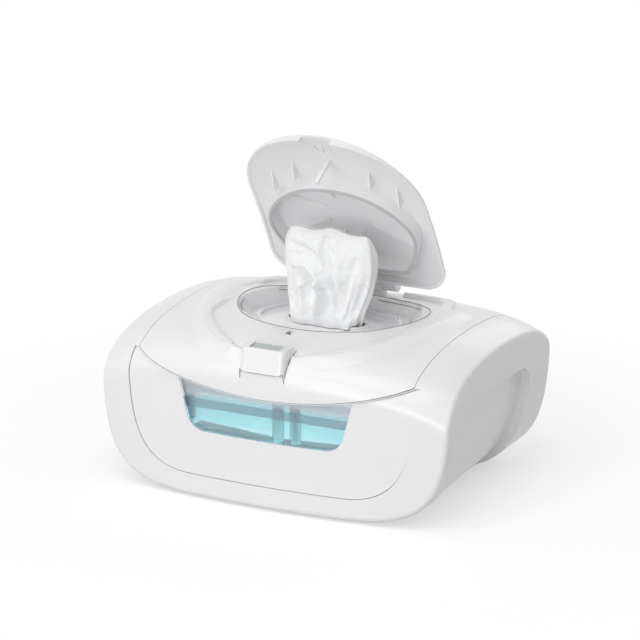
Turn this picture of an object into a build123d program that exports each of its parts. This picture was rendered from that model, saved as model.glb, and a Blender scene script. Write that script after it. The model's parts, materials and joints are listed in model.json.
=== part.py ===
from build123d import *
import os

# A tabletop baby wipe warmer, in millimetres: +X right, -Y front, +Z up, the feet stand on Z = 0.
# It is modelled with its main lid shut and its dispensing lid open.

# ---- Driving dimensions -------------------------------------------------------------------------
HALF_WIDTH = 140.0          # half of the casing's widest width
FRONT_Y = -110.0            # front of the casing at its middle
REAR_Y = 115.3              # rear of the casing at its middle
ROOF_Z = 124.0              # highest line of the roof, without the rim
BOTTOM_Z = 1.5              # underside of the casing, above the ground
WALL = 2.5                  # casing wall
SEAM = 0.5                  # visible gap between two casing pieces
FIT = 0.4                   # clearance between parts that are assembled by hand
SEAT = 0.3                  # clearance where a soft or curved piece lies on another

FRONT_BOW = 0.00081         # how fast the front curves back from its middle, per mm
REAR_BOW = 0.00115          # and the rear
SHOULDER_DROP = 13.0        # fall of the roof line at the widest point
HEEL_RADIUS = 46.0          # rounding of the rear's lower edge
CREASE_RADIUS = 4.0         # rounding of the edge between the sides and the roof
BASE_FLAT = 62.0            # half width of the flat underside
WIDEST_Z = 82.0             # height at which the casing is widest

LID_HALF = 111.0            # half width of the main lid
LID_EDGE_SIDE_Z = 103.0     # lower edge of the lid's front apron, at its corners
LID_EDGE_MID_Z = 84.0       # and at its middle
MAIN_HINGE_Y = 82.0
MAIN_HINGE_Z = 111.0
BARREL_RADIUS = 3.4
BARREL_HALF = 90.0          # half length of the lid's hinge barrel
PIN_RADIUS = 1.5
PIN_PLAY = 0.05             # radial play of a hinge pin
KNUCKLE_NEAR = 56.0         # the fixed knuckle of the main hinge spans these two X
KNUCKLE_FAR = 74.0

BOWL_HALF = 71.0            # half width of the oval bowl in the lid
BOWL_FRONT = 56.0           # its reach to the front and to the rear of the middle
BOWL_REAR = 47.0
BOWL_FLOOR_Z = 111.0
BOWL_SLOPE = 9.0            # how far the bowl narrows towards its floor
RIM_HEIGHT = 3.0            # raised rim around the nest of the dispensing lid
RIM_OUTER = 21.0            # its outer edge, outside the bowl's edge
RIM_WIDTH = 9.0
RIM_FRONT_EXTRA = 29.0      # the rim reaches this much further to the front

INSERT_THICK = 1.6
INSERT_RING_INSET = 15.0    # raised oval ring on the insert, inside the bowl's edge
INSERT_RING_HEIGHT = 4.0
SLOT_Y = -4.0               # dispensing slot
SLOT_LENGTH = 62.0
SLOT_WIDTH = 14.0
SLOT_LIP = 2.0
SEAL_HEIGHT = 2.0
LINER_HALF = 104.0          # inner panel of the main lid
LINER_Y = 6.0
LINER_LENGTH = 128.0
LINER_THICK = 2.0
LINER_POST_X = 92.0
LINER_POST_Y = 40.0
LINER_POST_RADIUS = 3.0

FLIP_HALF = 72.0            # half width of the dispensing lid
FLIP_HINGE_Y = 62.0
FLIP_HINGE_Z = 126.5
FLIP_TIP_Y = -94.0          # its tip when it is shut
FLIP_REAR_Y = 55.0          # its rear edge when it is shut
FLIP_ARCH = 63.0            # length of its rounded front
FLIP_CORNER = 20.0
FLIP_TOP_Z = 136.0          # its highest point when it is shut
FLIP_LONG_RADIUS = 380.0    # curvature of its top from front to rear
FLIP_CROSS_RADIUS = 320.0   # and from side to side
FLIP_WALL = 2.2
FLIP_EDGE = 1.8             # rounding of its outer edge
FLIP_KNUCKLE_RADIUS = 4.2
FLIP_KNUCKLE_NEAR = 16.0    # its two knuckles span these X, on both sides
FLIP_KNUCKLE_FAR = 27.0
FLIP_GAP = 0.8              # air between its edge and the roof when it is shut
FLIP_OPEN = 59.0            # degrees from shut to the pose in which it is modelled
SEAL_INSET = 11.0           # the seal wall under it, inside the bowl's edge
SEAL_WALL = 2.0
SEAL_BOTTOM_Z = 117.5
GUSSETS = ((31.0, -70.0, -44.0), (51.0, -62.5, -30.0))    # X, far end and near end in Y
GUSSET_THICK = 1.4
RIB_COUNT = 8
RIB_LENGTH = 20.0
SEAL_STRIP = 1.5            # soft strip under the seal wall
BOSS_Y = -82.0
BOSS_Z = 124.0
BOSS_RADIUS = 7.0
TONGUE_HALF = 1.6
TONGUE_Z = 104.6            # lowest point of the latch tongue
CATCH_Y = -64.0             # middle of the latch tongue when the dispensing lid is shut

WIPE_POINTS = 14
WIPE_FOLD = 0.09            # depth of its folds, as a share of its width
WIPE_LEVELS = ((112.8, 24.0, 6.0, 3.0), (116.0, 24.2, 6.0, 3.0), (122.0, 26.0, 7.5, 3.0), (140.0, 33.0, 12.0, 4.0),
               (162.0, 35.0, 14.0, 3.0), (178.0, 31.0, 12.5, 2.0), (188.0, 20.0, 7.5, 0.0))

PANEL_HALF = 115.0          # half width of the front panel
PANEL_BOTTOM_Z = 18.0
PANEL_RECESS = 1.2
WINDOW_HALF = 70.0          # half width of the tank window at its top
WINDOW_BOTTOM_Z = 52.0
WINDOW_BOTTOM_HALF = 58.0
LENS_THICK = 2.0

TUB_HALF = 102.0            # outer half width of the wipe tub
TUB_FRONT_Y = -58.0
TUB_REAR_Y = 74.0
TUB_FLOOR_Z = 24.0
TUB_TOP_Z = 95.0
TUB_WALL = 2.0
TUB_FLANGE = 5.0

TANK_HALF = 78.0
TANK_FRONT_Y = -100.5
TANK_REAR_Y = -66.0
TANK_FLOOR_Z = 44.0
TANK_TOP_Z = 93.0
TANK_WALL = 1.6
WATER_Z = 74.0              # water level

GRIP_DEPTH = 1.0            # hand recess in each side: its depth at its front
GRIP_TURN = 2.6             # degrees by which its floor turns inwards to the rear
GRIP_FRONT_Y = -62.0        # its top edge spans these two Y
GRIP_REAR_Y = 58.0
GRIP_TOP_Z = 86.0
GRIP_LOW_Z = 0.0
GRIP_SPREAD = 26.0          # how far it widens to the front, down to its open foot
GRIP_CORNER = 18.0
GRIP_INNER_X = 105.0        # the recesses end here, under the belly

DECK_Z = 93.0               # top of the deck that carries the tub and the tank
DECK_THICK = 2.5
LEDGE_REACH = 24.0          # how far the deck's ledges stand in from the widest width
LEDGE_LENGTH = 20.0
LEDGE_HEIGHT = 9.0
LEDGE_YS = (-30.0, 45.0)

BASE_HALF = 54.0            # half width of the base plate
BASE_FRONT_Y = -64.0
BASE_REAR_Y = 32.0
BASE_THICK = 2.0
BASE_LEDGE = 8.0            # width and height of the ledge that it is screwed to
BASE_LEDGE_HEIGHT = 4.0
SCREW_RADIUS = 1.5
SCREW_HEAD_RADIUS = 2.8
SCREW_HEAD_HEIGHT = 1.6
SCREW_PLAY = 0.1
FOOT_RADIUS = 7.0
FOOT_STEM_RADIUS = 2.5
FOOT_X = 50.0
FOOT_YS = (-86.0, 41.0)

HEATER_LENGTH = 176.0
HEATER_WIDTH = 104.0
HEATER_THICK = 2.0
MAT_THICK = 1.2
INSULATION_THICK = 4.0
THERMOSTAT_RADIUS = 8.0
THERMOSTAT_HEIGHT = 9.0
BOARD_LENGTH = 70.0
BOARD_WIDTH = 44.0
BOARD_THICK = 1.6
BOARD_Z = 8.0
INLET_X = 60.0
INLET_Z = 46.0
INLET_SETBACK = 8.6         # the casing's rear leans in by this much at the inlet
INLET_RADIUS = 6.0
INLET_BORE_RADIUS = 3.0
INLET_DEPTH = 6.5           # length of its bore
CHAMBER_DEPTH = 3.5         # wider chamber behind the bore, for the centre pin
CHAMBER_RADIUS = 3.8
INLET_BACK = 3.0
INLET_PIN_RADIUS = 1.0
WIPES_LENGTH = 190.0
WIPES_WIDTH = 114.0
WIPES_HEIGHT = 46.0

BUTTON_TRAVEL = 4.0
NOTCH_TOP_Z = 122.2         # top of the notch in the dispensing lid's tip, above the button
BEZEL_HALF = 17.5
BEZEL_FRONT_Y = -111.5
BEZEL_REAR_Y = -88.0
BEZEL_BOTTOM_Z = 104.5
BEZEL_TOP_Z = 121.5
BEZEL_LEAN = 4.0            # how far its front face leans back
BEZEL_CORNER = 4.0          # rounding of its upright edges
BEZEL_BRIM = 1.2            # and of its top edge

os.makedirs("parts", exist_ok=True)


def save(context, name):
    """Label a finished piece and write it."""
    context.part.label = name
    export_step(context.part, "parts/" + name + ".step")
    print(name, len(context.part.solids()), round(context.part.volume), context.part.is_valid)


# ---- The casing's form --------------------------------------------------------------------------
STATIONS = (-1.07, -0.92, -0.69, -0.37, 0, 0.37, 0.69, 0.92, 1.07)


def casing_section(x, inset):
    """A side-to-side station of the casing: its front, roof, leaning rear and underside."""
    share = abs(x) / HALF_WIDTH
    front = FRONT_Y + FRONT_BOW * x * x + inset
    rear = REAR_Y - REAR_BOW * x * x - inset
    top = ROOF_Z - SHOULDER_DROP * share ** 6 - inset
    knee = ROOF_Z - 25 * share ** 2 - inset
    front_top = 92 - 22 * share ** 4
    bottom = BOTTOM_Z - 4 + inset
    with BuildSketch(Plane.YZ.offset(x)) as section:
        with BuildLine():
            Line((front, bottom), (front, front_top))
            Bezier((front, front_top), (front, knee), (-70 + 10 * share ** 2, top), (0, top))
            Bezier((0, top), (50, top), (rear, top - 6), (rear - 4, 84))
            Line((rear - 4, 84), (rear - 16, bottom))
            Line((rear - 16, bottom), (front, bottom))
        make_face()
        heel = section.vertices().sort_by_distance((rear - 16, bottom, 0))[0]
        fillet(heel, HEEL_RADIUS)
    return section.sketch


def casing_form(inset):
    """The casing's solid form, or the form that lies one wall inside it."""
    half = HALF_WIDTH - inset
    low = BOTTOM_Z + inset
    with BuildPart() as body:
        for share in STATIONS:
            add(casing_section(share * HALF_WIDTH, inset))
        loft()
        with BuildSketch(Plane.XZ) as front_view:
            with BuildLine():
                Line((0, low), (BASE_FLAT, low))
                Bezier((BASE_FLAT, low), (118 - inset, low), (half, 16 + inset), (half, WIDEST_Z))
                Bezier((half, WIDEST_Z), (half, 96), (half - 1.5, 106), (half - 4, 116))
                Line((half - 4, 116), (half - 4, 200))
                Line((half - 4, 200), (0, 200))
                Line((0, 200), (0, low))
            make_face()
            mirror(about=Plane.YZ)
        extrude(amount=300, both=True, mode=Mode.INTERSECT)
    return body.part


def is_crease(edge):
    middle = edge.center()
    return abs(middle.X) > 0.79 * HALF_WIDTH and middle.Z > 9 and edge.geom_type != GeomType.LINE


with BuildPart() as rounded_form:
    add(casing_form(0))
    fillet([edge for edge in rounded_form.edges() if is_crease(edge)], CREASE_RADIUS)
OUTER = rounded_form.part
INNER = casing_form(WALL)

with BuildPart() as whole_shell:
    add(OUTER)
    add(INNER, mode=Mode.SUBTRACT)
SHELL = whole_shell.part
print("shell", SHELL.is_valid, SHELL.volume)


def lid_region(gap):
    """The space that the main lid takes: its sides, its apron's smile and its rear seam."""
    half = LID_HALF - gap
    with BuildPart() as region:
        with BuildSketch(Plane.XZ):
            with BuildLine():
                ThreePointArc((-half, LID_EDGE_SIDE_Z + gap), (0, LID_EDGE_MID_Z + gap),
                              (half, LID_EDGE_SIDE_Z + gap))
                Line((half, LID_EDGE_SIDE_Z + gap), (half, 200))
                Line((half, 200), (-half, 200))
                Line((-half, 200), (-half, LID_EDGE_SIDE_Z + gap))
            make_face()
        extrude(amount=200)
        with BuildSketch(Plane.XY.offset(90 + gap)):
            with Locations((0, MAIN_HINGE_Y / 2)):
                Rectangle(2 * half, MAIN_HINGE_Y)
        extrude(amount=110)
    return region.part


def panel_region(gap):
    """The space of the front panel, below the apron and inside the band."""
    half = PANEL_HALF - gap
    low = PANEL_BOTTOM_Z + gap
    with BuildPart() as region:
        with BuildSketch(Plane.XZ.offset(60)):
            with BuildLine():
                Line((0, low), (BASE_FLAT, low))
                Bezier((BASE_FLAT, low), (104 - gap, low), (half - 2, 46), (half, 88))
                Line((half, 88), (half, LID_EDGE_SIDE_Z - gap))
                Line((half, LID_EDGE_SIDE_Z - gap), (0, LID_EDGE_SIDE_Z - gap))
                Line((0, LID_EDGE_SIDE_Z - gap), (0, low))
            make_face()
            mirror(about=Plane.YZ)
        extrude(amount=80)
        add(lid_region(-SEAM - gap), mode=Mode.SUBTRACT)
    return region.part


# ---- Casing pieces ------------------------------------------------------------------------------
PANEL_INSET = PANEL_RECESS + WALL
LENS_INSET = PANEL_RECESS + 0.5
BASE_MIDDLE_Y = (BASE_FRONT_Y + BASE_REAR_Y) / 2
BASE_LENGTH = BASE_REAR_Y - BASE_FRONT_Y
PLATE_TOP_Z = BOTTOM_Z + BASE_THICK
LEDGE_TOP_Z = PLATE_TOP_Z + BASE_LEDGE_HEIGHT
SCREW_SPOTS = [(x, y) for x in (-BASE_HALF + BASE_LEDGE / 2, BASE_HALF - BASE_LEDGE / 2)
               for y in (BASE_FRONT_Y + BASE_LEDGE / 2, BASE_REAR_Y - BASE_LEDGE / 2)]
FOOT_SPOTS = [(x, y) for x in (-FOOT_X, FOOT_X) for y in FOOT_YS]
HINGE_PLANE = Plane(origin=(0, MAIN_HINGE_Y, MAIN_HINGE_Z), x_dir=(0, 1, 0), z_dir=(1, 0, 0))
KNUCKLE_LENGTH = KNUCKLE_FAR - KNUCKLE_NEAR
REAR_GAP_Y = MAIN_HINGE_Y + BARREL_RADIUS + FIT


def knuckle_plane(x):
    return HINGE_PLANE.offset(x)


HALF_SKIN = casing_form(WALL / 2)

with BuildPart() as ledges:
    for side in (-1, 1):
        for y in LEDGE_YS:
            with Locations((side * (HALF_WIDTH - LEDGE_REACH / 2), y, DECK_Z - DECK_THICK)):
                Box(LEDGE_REACH, LEDGE_LENGTH, LEDGE_HEIGHT, align=(Align.CENTER, Align.CENTER, Align.MAX))
    add(HALF_SKIN, mode=Mode.INTERSECT)


def grip_slab(side, grow, depth):
    """What lies outside one side's recess floor, which turns inwards to the rear, in its arched outline."""
    pivot = Axis((side * HALF_WIDTH, GRIP_FRONT_Y - GRIP_SPREAD, 0), (0, 0, 1))
    with BuildPart() as slab:
        with BuildSketch(Plane.YZ.offset(side * GRIP_INNER_X)) as arch:
            with BuildLine():
                Polyline((GRIP_FRONT_Y - GRIP_SPREAD, GRIP_LOW_Z), (GRIP_FRONT_Y, GRIP_TOP_Z),
                         (GRIP_REAR_Y, GRIP_TOP_Z), (GRIP_REAR_Y - GRIP_SPREAD, GRIP_LOW_Z), close=True)
            make_face()
            fillet(arch.vertices().group_by(Axis.Y)[-1], GRIP_CORNER)
            if grow:
                offset(amount=grow)
        extrude(amount=side * (HALF_WIDTH + 5 - GRIP_INNER_X))
        add(casing_form(depth).rotate(pivot, side * GRIP_TURN), mode=Mode.SUBTRACT)
    return slab.part


with BuildPart() as grip_pocket:
    for side in (-1, 1):
        add(grip_slab(side, 0, GRIP_DEPTH))

with BuildPart() as grip_wall:
    for side in (-1, 1):
        add(grip_slab(side, WALL, GRIP_DEPTH + WALL))
    add(HALF_SKIN, mode=Mode.INTERSECT)

with BuildPart() as base_ledge:
    with BuildSketch(Plane.XY.offset(PLATE_TOP_Z)):
        with Locations((0, BASE_MIDDLE_Y)):
            RectangleRounded(2 * BASE_HALF + 4, BASE_LENGTH + 4, 6)
            RectangleRounded(2 * (BASE_HALF - BASE_LEDGE), BASE_LENGTH - 2 * BASE_LEDGE, 4, mode=Mode.SUBTRACT)
    extrude(amount=BASE_LEDGE_HEIGHT)

with BuildPart() as fixed_knuckles:
    for side in (-1, 1):
        near = side * KNUCKLE_NEAR if side > 0 else side * KNUCKLE_FAR
        with BuildSketch(knuckle_plane(near)):
            Circle(BARREL_RADIUS)
            with Locations((BARREL_RADIUS + 2, -2)):
                Rectangle(2 * BARREL_RADIUS + 2, BARREL_RADIUS + 2)
        extrude(amount=KNUCKLE_LENGTH)
        with BuildSketch(knuckle_plane(near)):
            Circle(PIN_RADIUS + PIN_PLAY)
        extrude(amount=KNUCKLE_LENGTH, mode=Mode.SUBTRACT)
    add(OUTER, mode=Mode.INTERSECT)

with BuildPart() as housing:
    add(SHELL)
    add(lid_region(0), mode=Mode.SUBTRACT)
    add(panel_region(0), mode=Mode.SUBTRACT)
    with BuildSketch(Plane.XY.offset(90)):
        with Locations((0, (MAIN_HINGE_Y + REAR_GAP_Y) / 2 - 1)):
            Rectangle(2 * LID_HALF, REAR_GAP_Y - MAIN_HINGE_Y + 2)
    extrude(amount=110, mode=Mode.SUBTRACT)
    with BuildSketch(Plane.XY):
        with Locations((0, BASE_MIDDLE_Y)):
            RectangleRounded(2 * BASE_HALF, BASE_LENGTH, 5)
    extrude(amount=10, mode=Mode.SUBTRACT)
    add(base_ledge.part)
    add(ledges.part)
    add(grip_wall.part)
    add(grip_pocket.part, mode=Mode.SUBTRACT)
    with Locations(*[(x, y, PLATE_TOP_Z) for x, y in SCREW_SPOTS]):
        Cylinder(SCREW_RADIUS + SCREW_PLAY, 3 * BASE_LEDGE_HEIGHT, mode=Mode.SUBTRACT)
    with Locations(*[(x, y, BOTTOM_Z) for x, y in FOOT_SPOTS]):
        Cylinder(FOOT_STEM_RADIUS + SCREW_PLAY, 20, mode=Mode.SUBTRACT)
    with BuildSketch(Plane.XZ.offset(-85)):
        with Locations((INLET_X, INLET_Z)):
            Circle(INLET_RADIUS + SCREW_PLAY)
    extrude(amount=-40, mode=Mode.SUBTRACT)
    add(fixed_knuckles.part)
save(housing, "housing")


def window_region(gap):
    """The window of the tank, a trapezoid with round lower corners."""
    top = LID_EDGE_MID_Z + 10
    with BuildPart() as region:
        with BuildSketch(Plane.XZ.offset(80)) as window:
            with BuildLine():
                Polyline((-WINDOW_HALF - 1, top), (-WINDOW_BOTTOM_HALF - 2, WINDOW_BOTTOM_Z),
                         (WINDOW_BOTTOM_HALF + 2, WINDOW_BOTTOM_Z), (WINDOW_HALF + 1, top), close=True)
            make_face()
            fillet(window.vertices().group_by(Axis.Y)[0], 15)
            if gap:
                offset(amount=-gap)
        extrude(amount=60)
    return region.part


with BuildPart() as front_panel:
    add(casing_form(PANEL_RECESS))
    add(casing_form(PANEL_INSET), mode=Mode.SUBTRACT)
    add(panel_region(SEAM), mode=Mode.INTERSECT)
    add(window_region(0), mode=Mode.SUBTRACT)
save(front_panel, "front_panel")

with BuildPart() as window_lens:
    add(casing_form(LENS_INSET))
    add(casing_form(LENS_INSET + LENS_THICK), mode=Mode.SUBTRACT)
    add(window_region(SEAT), mode=Mode.INTERSECT)
    add(panel_region(SEAM), mode=Mode.INTERSECT)
save(window_lens, "window_lens")

with BuildPart() as base_plate:
    with BuildSketch(Plane.XY.offset(BOTTOM_Z)):
        with Locations((0, BASE_MIDDLE_Y)):
            RectangleRounded(2 * (BASE_HALF - FIT), BASE_LENGTH - 2 * FIT, 5 - FIT)
    extrude(amount=BASE_THICK)
    with BuildSketch(Plane.XY.offset(PLATE_TOP_Z)):
        with Locations((0, BASE_MIDDLE_Y)):
            with GridLocations(BOARD_LENGTH - 8, BOARD_WIDTH - 8, 2, 2):
                Circle(3)
    extrude(amount=BOARD_Z - PLATE_TOP_Z)
    with Locations(*[(x, y, BOTTOM_Z) for x, y in SCREW_SPOTS]):
        Cylinder(SCREW_RADIUS + SCREW_PLAY, 3 * BASE_THICK, mode=Mode.SUBTRACT)
        Cylinder(SCREW_HEAD_RADIUS + SCREW_PLAY, 2 * SCREW_HEAD_HEIGHT, mode=Mode.SUBTRACT)
    with BuildSketch(Plane.XY.offset(BOTTOM_Z)):
        with Locations((0, BASE_MIDDLE_Y)):
            with GridLocations(0, 7, 1, 5):
                SlotOverall(44, 3)
    extrude(amount=BASE_THICK, mode=Mode.SUBTRACT)
    with BuildSketch(Plane.XY.offset(PLATE_TOP_Z)):
        with Locations((0, BASE_MIDDLE_Y)):
            with GridLocations(BOARD_LENGTH - 8, BOARD_WIDTH - 8, 2, 2):
                Circle(1)
    extrude(amount=BOARD_Z, mode=Mode.SUBTRACT)
save(base_plate, "base_plate")

with BuildPart() as base_screws:
    with Locations(*[(x, y, BOTTOM_Z + 0.2) for x, y in SCREW_SPOTS]):
        Cylinder(SCREW_HEAD_RADIUS, SCREW_HEAD_HEIGHT - 0.2, align=(Align.CENTER, Align.CENTER, Align.MIN))
        Cylinder(SCREW_RADIUS, LEDGE_TOP_Z - BOTTOM_Z - 0.5, align=(Align.CENTER, Align.CENTER, Align.MIN))
save(base_screws, "base_screws")

with BuildPart() as rubber_feet:
    with Locations(*[(x, y, 0) for x, y in FOOT_SPOTS]):
        Cylinder(FOOT_RADIUS, BOTTOM_Z, align=(Align.CENTER, Align.CENTER, Align.MIN))
        Cylinder(FOOT_STEM_RADIUS, BOTTOM_Z + WALL + 1, align=(Align.CENTER, Align.CENTER, Align.MIN))
save(rubber_feet, "rubber_feet")

# ---- Deck, wipe tub and heater ------------------------------------------------------------------
TUB_MIDDLE_Y = (TUB_FRONT_Y + TUB_REAR_Y) / 2
TUB_LENGTH = 2 * TUB_HALF
TUB_WIDTH = TUB_REAR_Y - TUB_FRONT_Y
TUB_CORNER = 18.0
TANK_MIDDLE_Y = (TANK_FRONT_Y + TANK_REAR_Y) / 2
TANK_WIDTH = TANK_REAR_Y - TANK_FRONT_Y
TANK_CORNER = 6.0

with BuildPart() as deck:
    add(casing_form(PANEL_INSET + FIT))
    with Locations((0, 0, DECK_Z)):
        Box(400, 400, DECK_THICK, align=(Align.CENTER, Align.CENTER, Align.MAX), mode=Mode.INTERSECT)
    with BuildSketch(Plane.XY.offset(DECK_Z)):
        with Locations((0, TUB_MIDDLE_Y)):
            RectangleRounded(TUB_LENGTH + 2 * FIT, TUB_WIDTH + 2 * FIT, TUB_CORNER + FIT)
        with Locations((0, TANK_MIDDLE_Y)):
            RectangleRounded(2 * (TANK_HALF + FIT), TANK_WIDTH + 2 * FIT, TANK_CORNER + FIT)
    extrude(amount=-DECK_THICK, mode=Mode.SUBTRACT)
save(deck, "deck")

with BuildPart() as wipe_tub:
    with BuildSketch(Plane.XY.offset(TUB_FLOOR_Z)):
        with Locations((0, TUB_MIDDLE_Y)):
            RectangleRounded(TUB_LENGTH, TUB_WIDTH, TUB_CORNER)
    extrude(amount=TUB_TOP_Z - TUB_FLOOR_Z)
    with BuildSketch(Plane.XY.offset(DECK_Z)):
        with Locations((0, TUB_MIDDLE_Y)):
            RectangleRounded(TUB_LENGTH + 2 * TUB_FLANGE, TUB_WIDTH + 2 * TUB_FLANGE, TUB_CORNER + TUB_FLANGE)
    extrude(amount=TUB_TOP_Z - DECK_Z)
    with BuildSketch(Plane.XY.offset(TUB_FLOOR_Z + TUB_WALL)):
        with Locations((0, TUB_MIDDLE_Y)):
            RectangleRounded(TUB_LENGTH - 2 * TUB_WALL, TUB_WIDTH - 2 * TUB_WALL, TUB_CORNER - TUB_WALL)
    extrude(amount=TUB_TOP_Z, mode=Mode.SUBTRACT)
save(wipe_tub, "wipe_tub")

HEATER_TOP_Z = TUB_FLOOR_Z
MAT_TOP_Z = HEATER_TOP_Z - HEATER_THICK
INSULATION_TOP_Z = MAT_TOP_Z - MAT_THICK


def heater_layer(top, thick, holed):
    """One layer under the tub's floor, with a hole where the thermostat passes."""
    with BuildPart() as layer:
        with BuildSketch(Plane.XY.offset(top)):
            with Locations((0, TUB_MIDDLE_Y)):
                RectangleRounded(HEATER_LENGTH, HEATER_WIDTH, 10)
                if holed:
                    Circle(THERMOSTAT_RADIUS + FIT, mode=Mode.SUBTRACT)
        extrude(amount=-thick)
    return layer


save(heater_layer(HEATER_TOP_Z, HEATER_THICK, False), "heater_plate")
save(heater_layer(MAT_TOP_Z, MAT_THICK, True), "heater_mat")
save(heater_layer(INSULATION_TOP_Z, INSULATION_THICK, True), "insulation_pad")

with BuildPart() as thermostat:
    with Locations((0, TUB_MIDDLE_Y, MAT_TOP_Z)):
        Cylinder(THERMOSTAT_RADIUS, 3, align=(Align.CENTER, Align.CENTER, Align.MAX))
    with Locations((0, TUB_MIDDLE_Y, MAT_TOP_Z - 3)):
        Cylinder(THERMOSTAT_RADIUS - 1, THERMOSTAT_HEIGHT - 3, align=(Align.CENTER, Align.CENTER, Align.MAX))
save(thermostat, "thermostat")

with BuildPart() as control_board:
    with BuildSketch(Plane.XY.offset(BOARD_Z)):
        with Locations((0, BASE_MIDDLE_Y)):
            Rectangle(BOARD_LENGTH, BOARD_WIDTH)
            with GridLocations(BOARD_LENGTH - 8, BOARD_WIDTH - 8, 2, 2):
                Circle(1.2, mode=Mode.SUBTRACT)
    extrude(amount=BOARD_THICK)
    board_top = BOARD_Z + BOARD_THICK
    with Locations((-22, BASE_MIDDLE_Y, board_top), (20, BASE_MIDDLE_Y - 8, board_top)):
        Box(10, 8, 2, align=(Align.CENTER, Align.CENTER, Align.MIN))
save(control_board, "control_board")

with BuildPart() as board_screws:
    with BuildSketch(Plane.XY.offset(BOARD_Z + BOARD_THICK)):
        with Locations((0, BASE_MIDDLE_Y)):
            with GridLocations(BOARD_LENGTH - 8, BOARD_WIDTH - 8, 2, 2):
                Circle(2.2)
    extrude(amount=1.2)
    with BuildSketch(Plane.XY.offset(BOARD_Z + BOARD_THICK)):
        with Locations((0, BASE_MIDDLE_Y)):
            with GridLocations(BOARD_LENGTH - 8, BOARD_WIDTH - 8, 2, 2):
                Circle(1 - SCREW_PLAY / 2)
    extrude(amount=-(BOARD_THICK + 3.5))
save(board_screws, "board_screws")

with BuildPart() as wipe_stack:
    with BuildSketch(Plane.XY.offset(TUB_FLOOR_Z + TUB_WALL + SEAT)):
        with Locations((0, TUB_MIDDLE_Y)):
            RectangleRounded(WIPES_LENGTH, WIPES_WIDTH, 8)
    extrude(amount=WIPES_HEIGHT)
    fillet(wipe_stack.faces().sort_by(Axis.Z)[-1].edges(), 6)
save(wipe_stack, "wipe_stack")

# ---- Water tank and power inlet -----------------------------------------------------------------
WICK_TUBE_RADIUS = 4.0
WICK_TUBE_BORE = 2.8
WICK_X = 14.0
WICK_SIDE = 5.0
WICK_STEPS = 9
CAP_X = -48.0
CAP_RADIUS = 11.0
NECK_RADIUS = 8.5
COVER_THICK = 1.6
COVER_LIP = 4.0
COVER_REAR_LIP = 2.0

with BuildPart() as water_tank:
    with BuildSketch(Plane.XY.offset(TANK_FLOOR_Z)):
        with Locations((0, TANK_MIDDLE_Y)):
            RectangleRounded(2 * TANK_HALF, TANK_WIDTH, TANK_CORNER)
    extrude(amount=TANK_TOP_Z - TANK_FLOOR_Z)
    with BuildSketch(Plane.XY.offset(TANK_FLOOR_Z + TANK_WALL)):
        with Locations((0, TANK_MIDDLE_Y)):
            RectangleRounded(2 * (TANK_HALF - TANK_WALL), TANK_WIDTH - 2 * TANK_WALL, TANK_CORNER - TANK_WALL)
    extrude(amount=TANK_TOP_Z, mode=Mode.SUBTRACT)
save(water_tank, "water_tank")

with BuildPart() as tank_cover:
    with BuildSketch(Plane.XY.offset(TANK_TOP_Z)):
        with Locations((0, TANK_MIDDLE_Y + COVER_REAR_LIP / 2 + FIT)):
            RectangleRounded(2 * TANK_HALF + 2 * COVER_LIP, TANK_WIDTH + COVER_REAR_LIP - 2 * FIT, TANK_CORNER)
    extrude(amount=COVER_THICK)
    with BuildSketch(Plane.XY.offset(TANK_TOP_Z)):
        with Locations((CAP_X, TANK_MIDDLE_Y)):
            Circle(NECK_RADIUS)
    extrude(amount=COVER_THICK + 3)
    with BuildSketch(Plane.XY.offset(TANK_TOP_Z)):
        with Locations((CAP_X, TANK_MIDDLE_Y)):
            Circle(NECK_RADIUS - 1.5)
        with Locations((0, TANK_MIDDLE_Y)):
            Circle(WICK_TUBE_RADIUS + PIN_PLAY)
        with Locations((WICK_X, TANK_MIDDLE_Y)):
            Circle(WICK_SIDE * 0.75)
    extrude(amount=20, mode=Mode.SUBTRACT)
save(tank_cover, "tank_cover")

with BuildPart() as tank_cap:
    with BuildSketch(Plane.XY.offset(TANK_TOP_Z + COVER_THICK + SEAT)):
        with Locations((CAP_X, TANK_MIDDLE_Y)):
            Circle(CAP_RADIUS)
            Circle(NECK_RADIUS + SEAT, mode=Mode.SUBTRACT)
    extrude(amount=3)
    with BuildSketch(Plane.XY.offset(TANK_TOP_Z + COVER_THICK + SEAT + 3)):
        with Locations((CAP_X, TANK_MIDDLE_Y)):
            Circle(CAP_RADIUS)
    extrude(amount=1.4)
save(tank_cap, "tank_cap")

with BuildPart() as wick_tube:
    with BuildSketch(Plane.XY.offset(TANK_FLOOR_Z + TANK_WALL + 1)):
        with Locations((0, TANK_MIDDLE_Y)):
            Circle(WICK_TUBE_RADIUS)
            Circle(WICK_TUBE_BORE, mode=Mode.SUBTRACT)
    extrude(amount=TANK_TOP_Z + COVER_THICK + 2 - (TANK_FLOOR_Z + TANK_WALL + 1))
save(wick_tube, "wick_tube")

with BuildPart() as water_wick:
    for step in range(WICK_STEPS):
        share = step / (WICK_STEPS - 1)
        height = TANK_FLOOR_Z + TANK_WALL + SEAT + share * (TANK_TOP_Z - TANK_FLOOR_Z - TANK_WALL)
        with BuildSketch(Plane.XY.offset(height)):
            with Locations((WICK_X, TANK_MIDDLE_Y)):
                Rectangle(WICK_SIDE, WICK_SIDE * 0.8, rotation=270 * share)
    loft(ruled=True)
save(water_wick, "water_wick")

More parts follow.
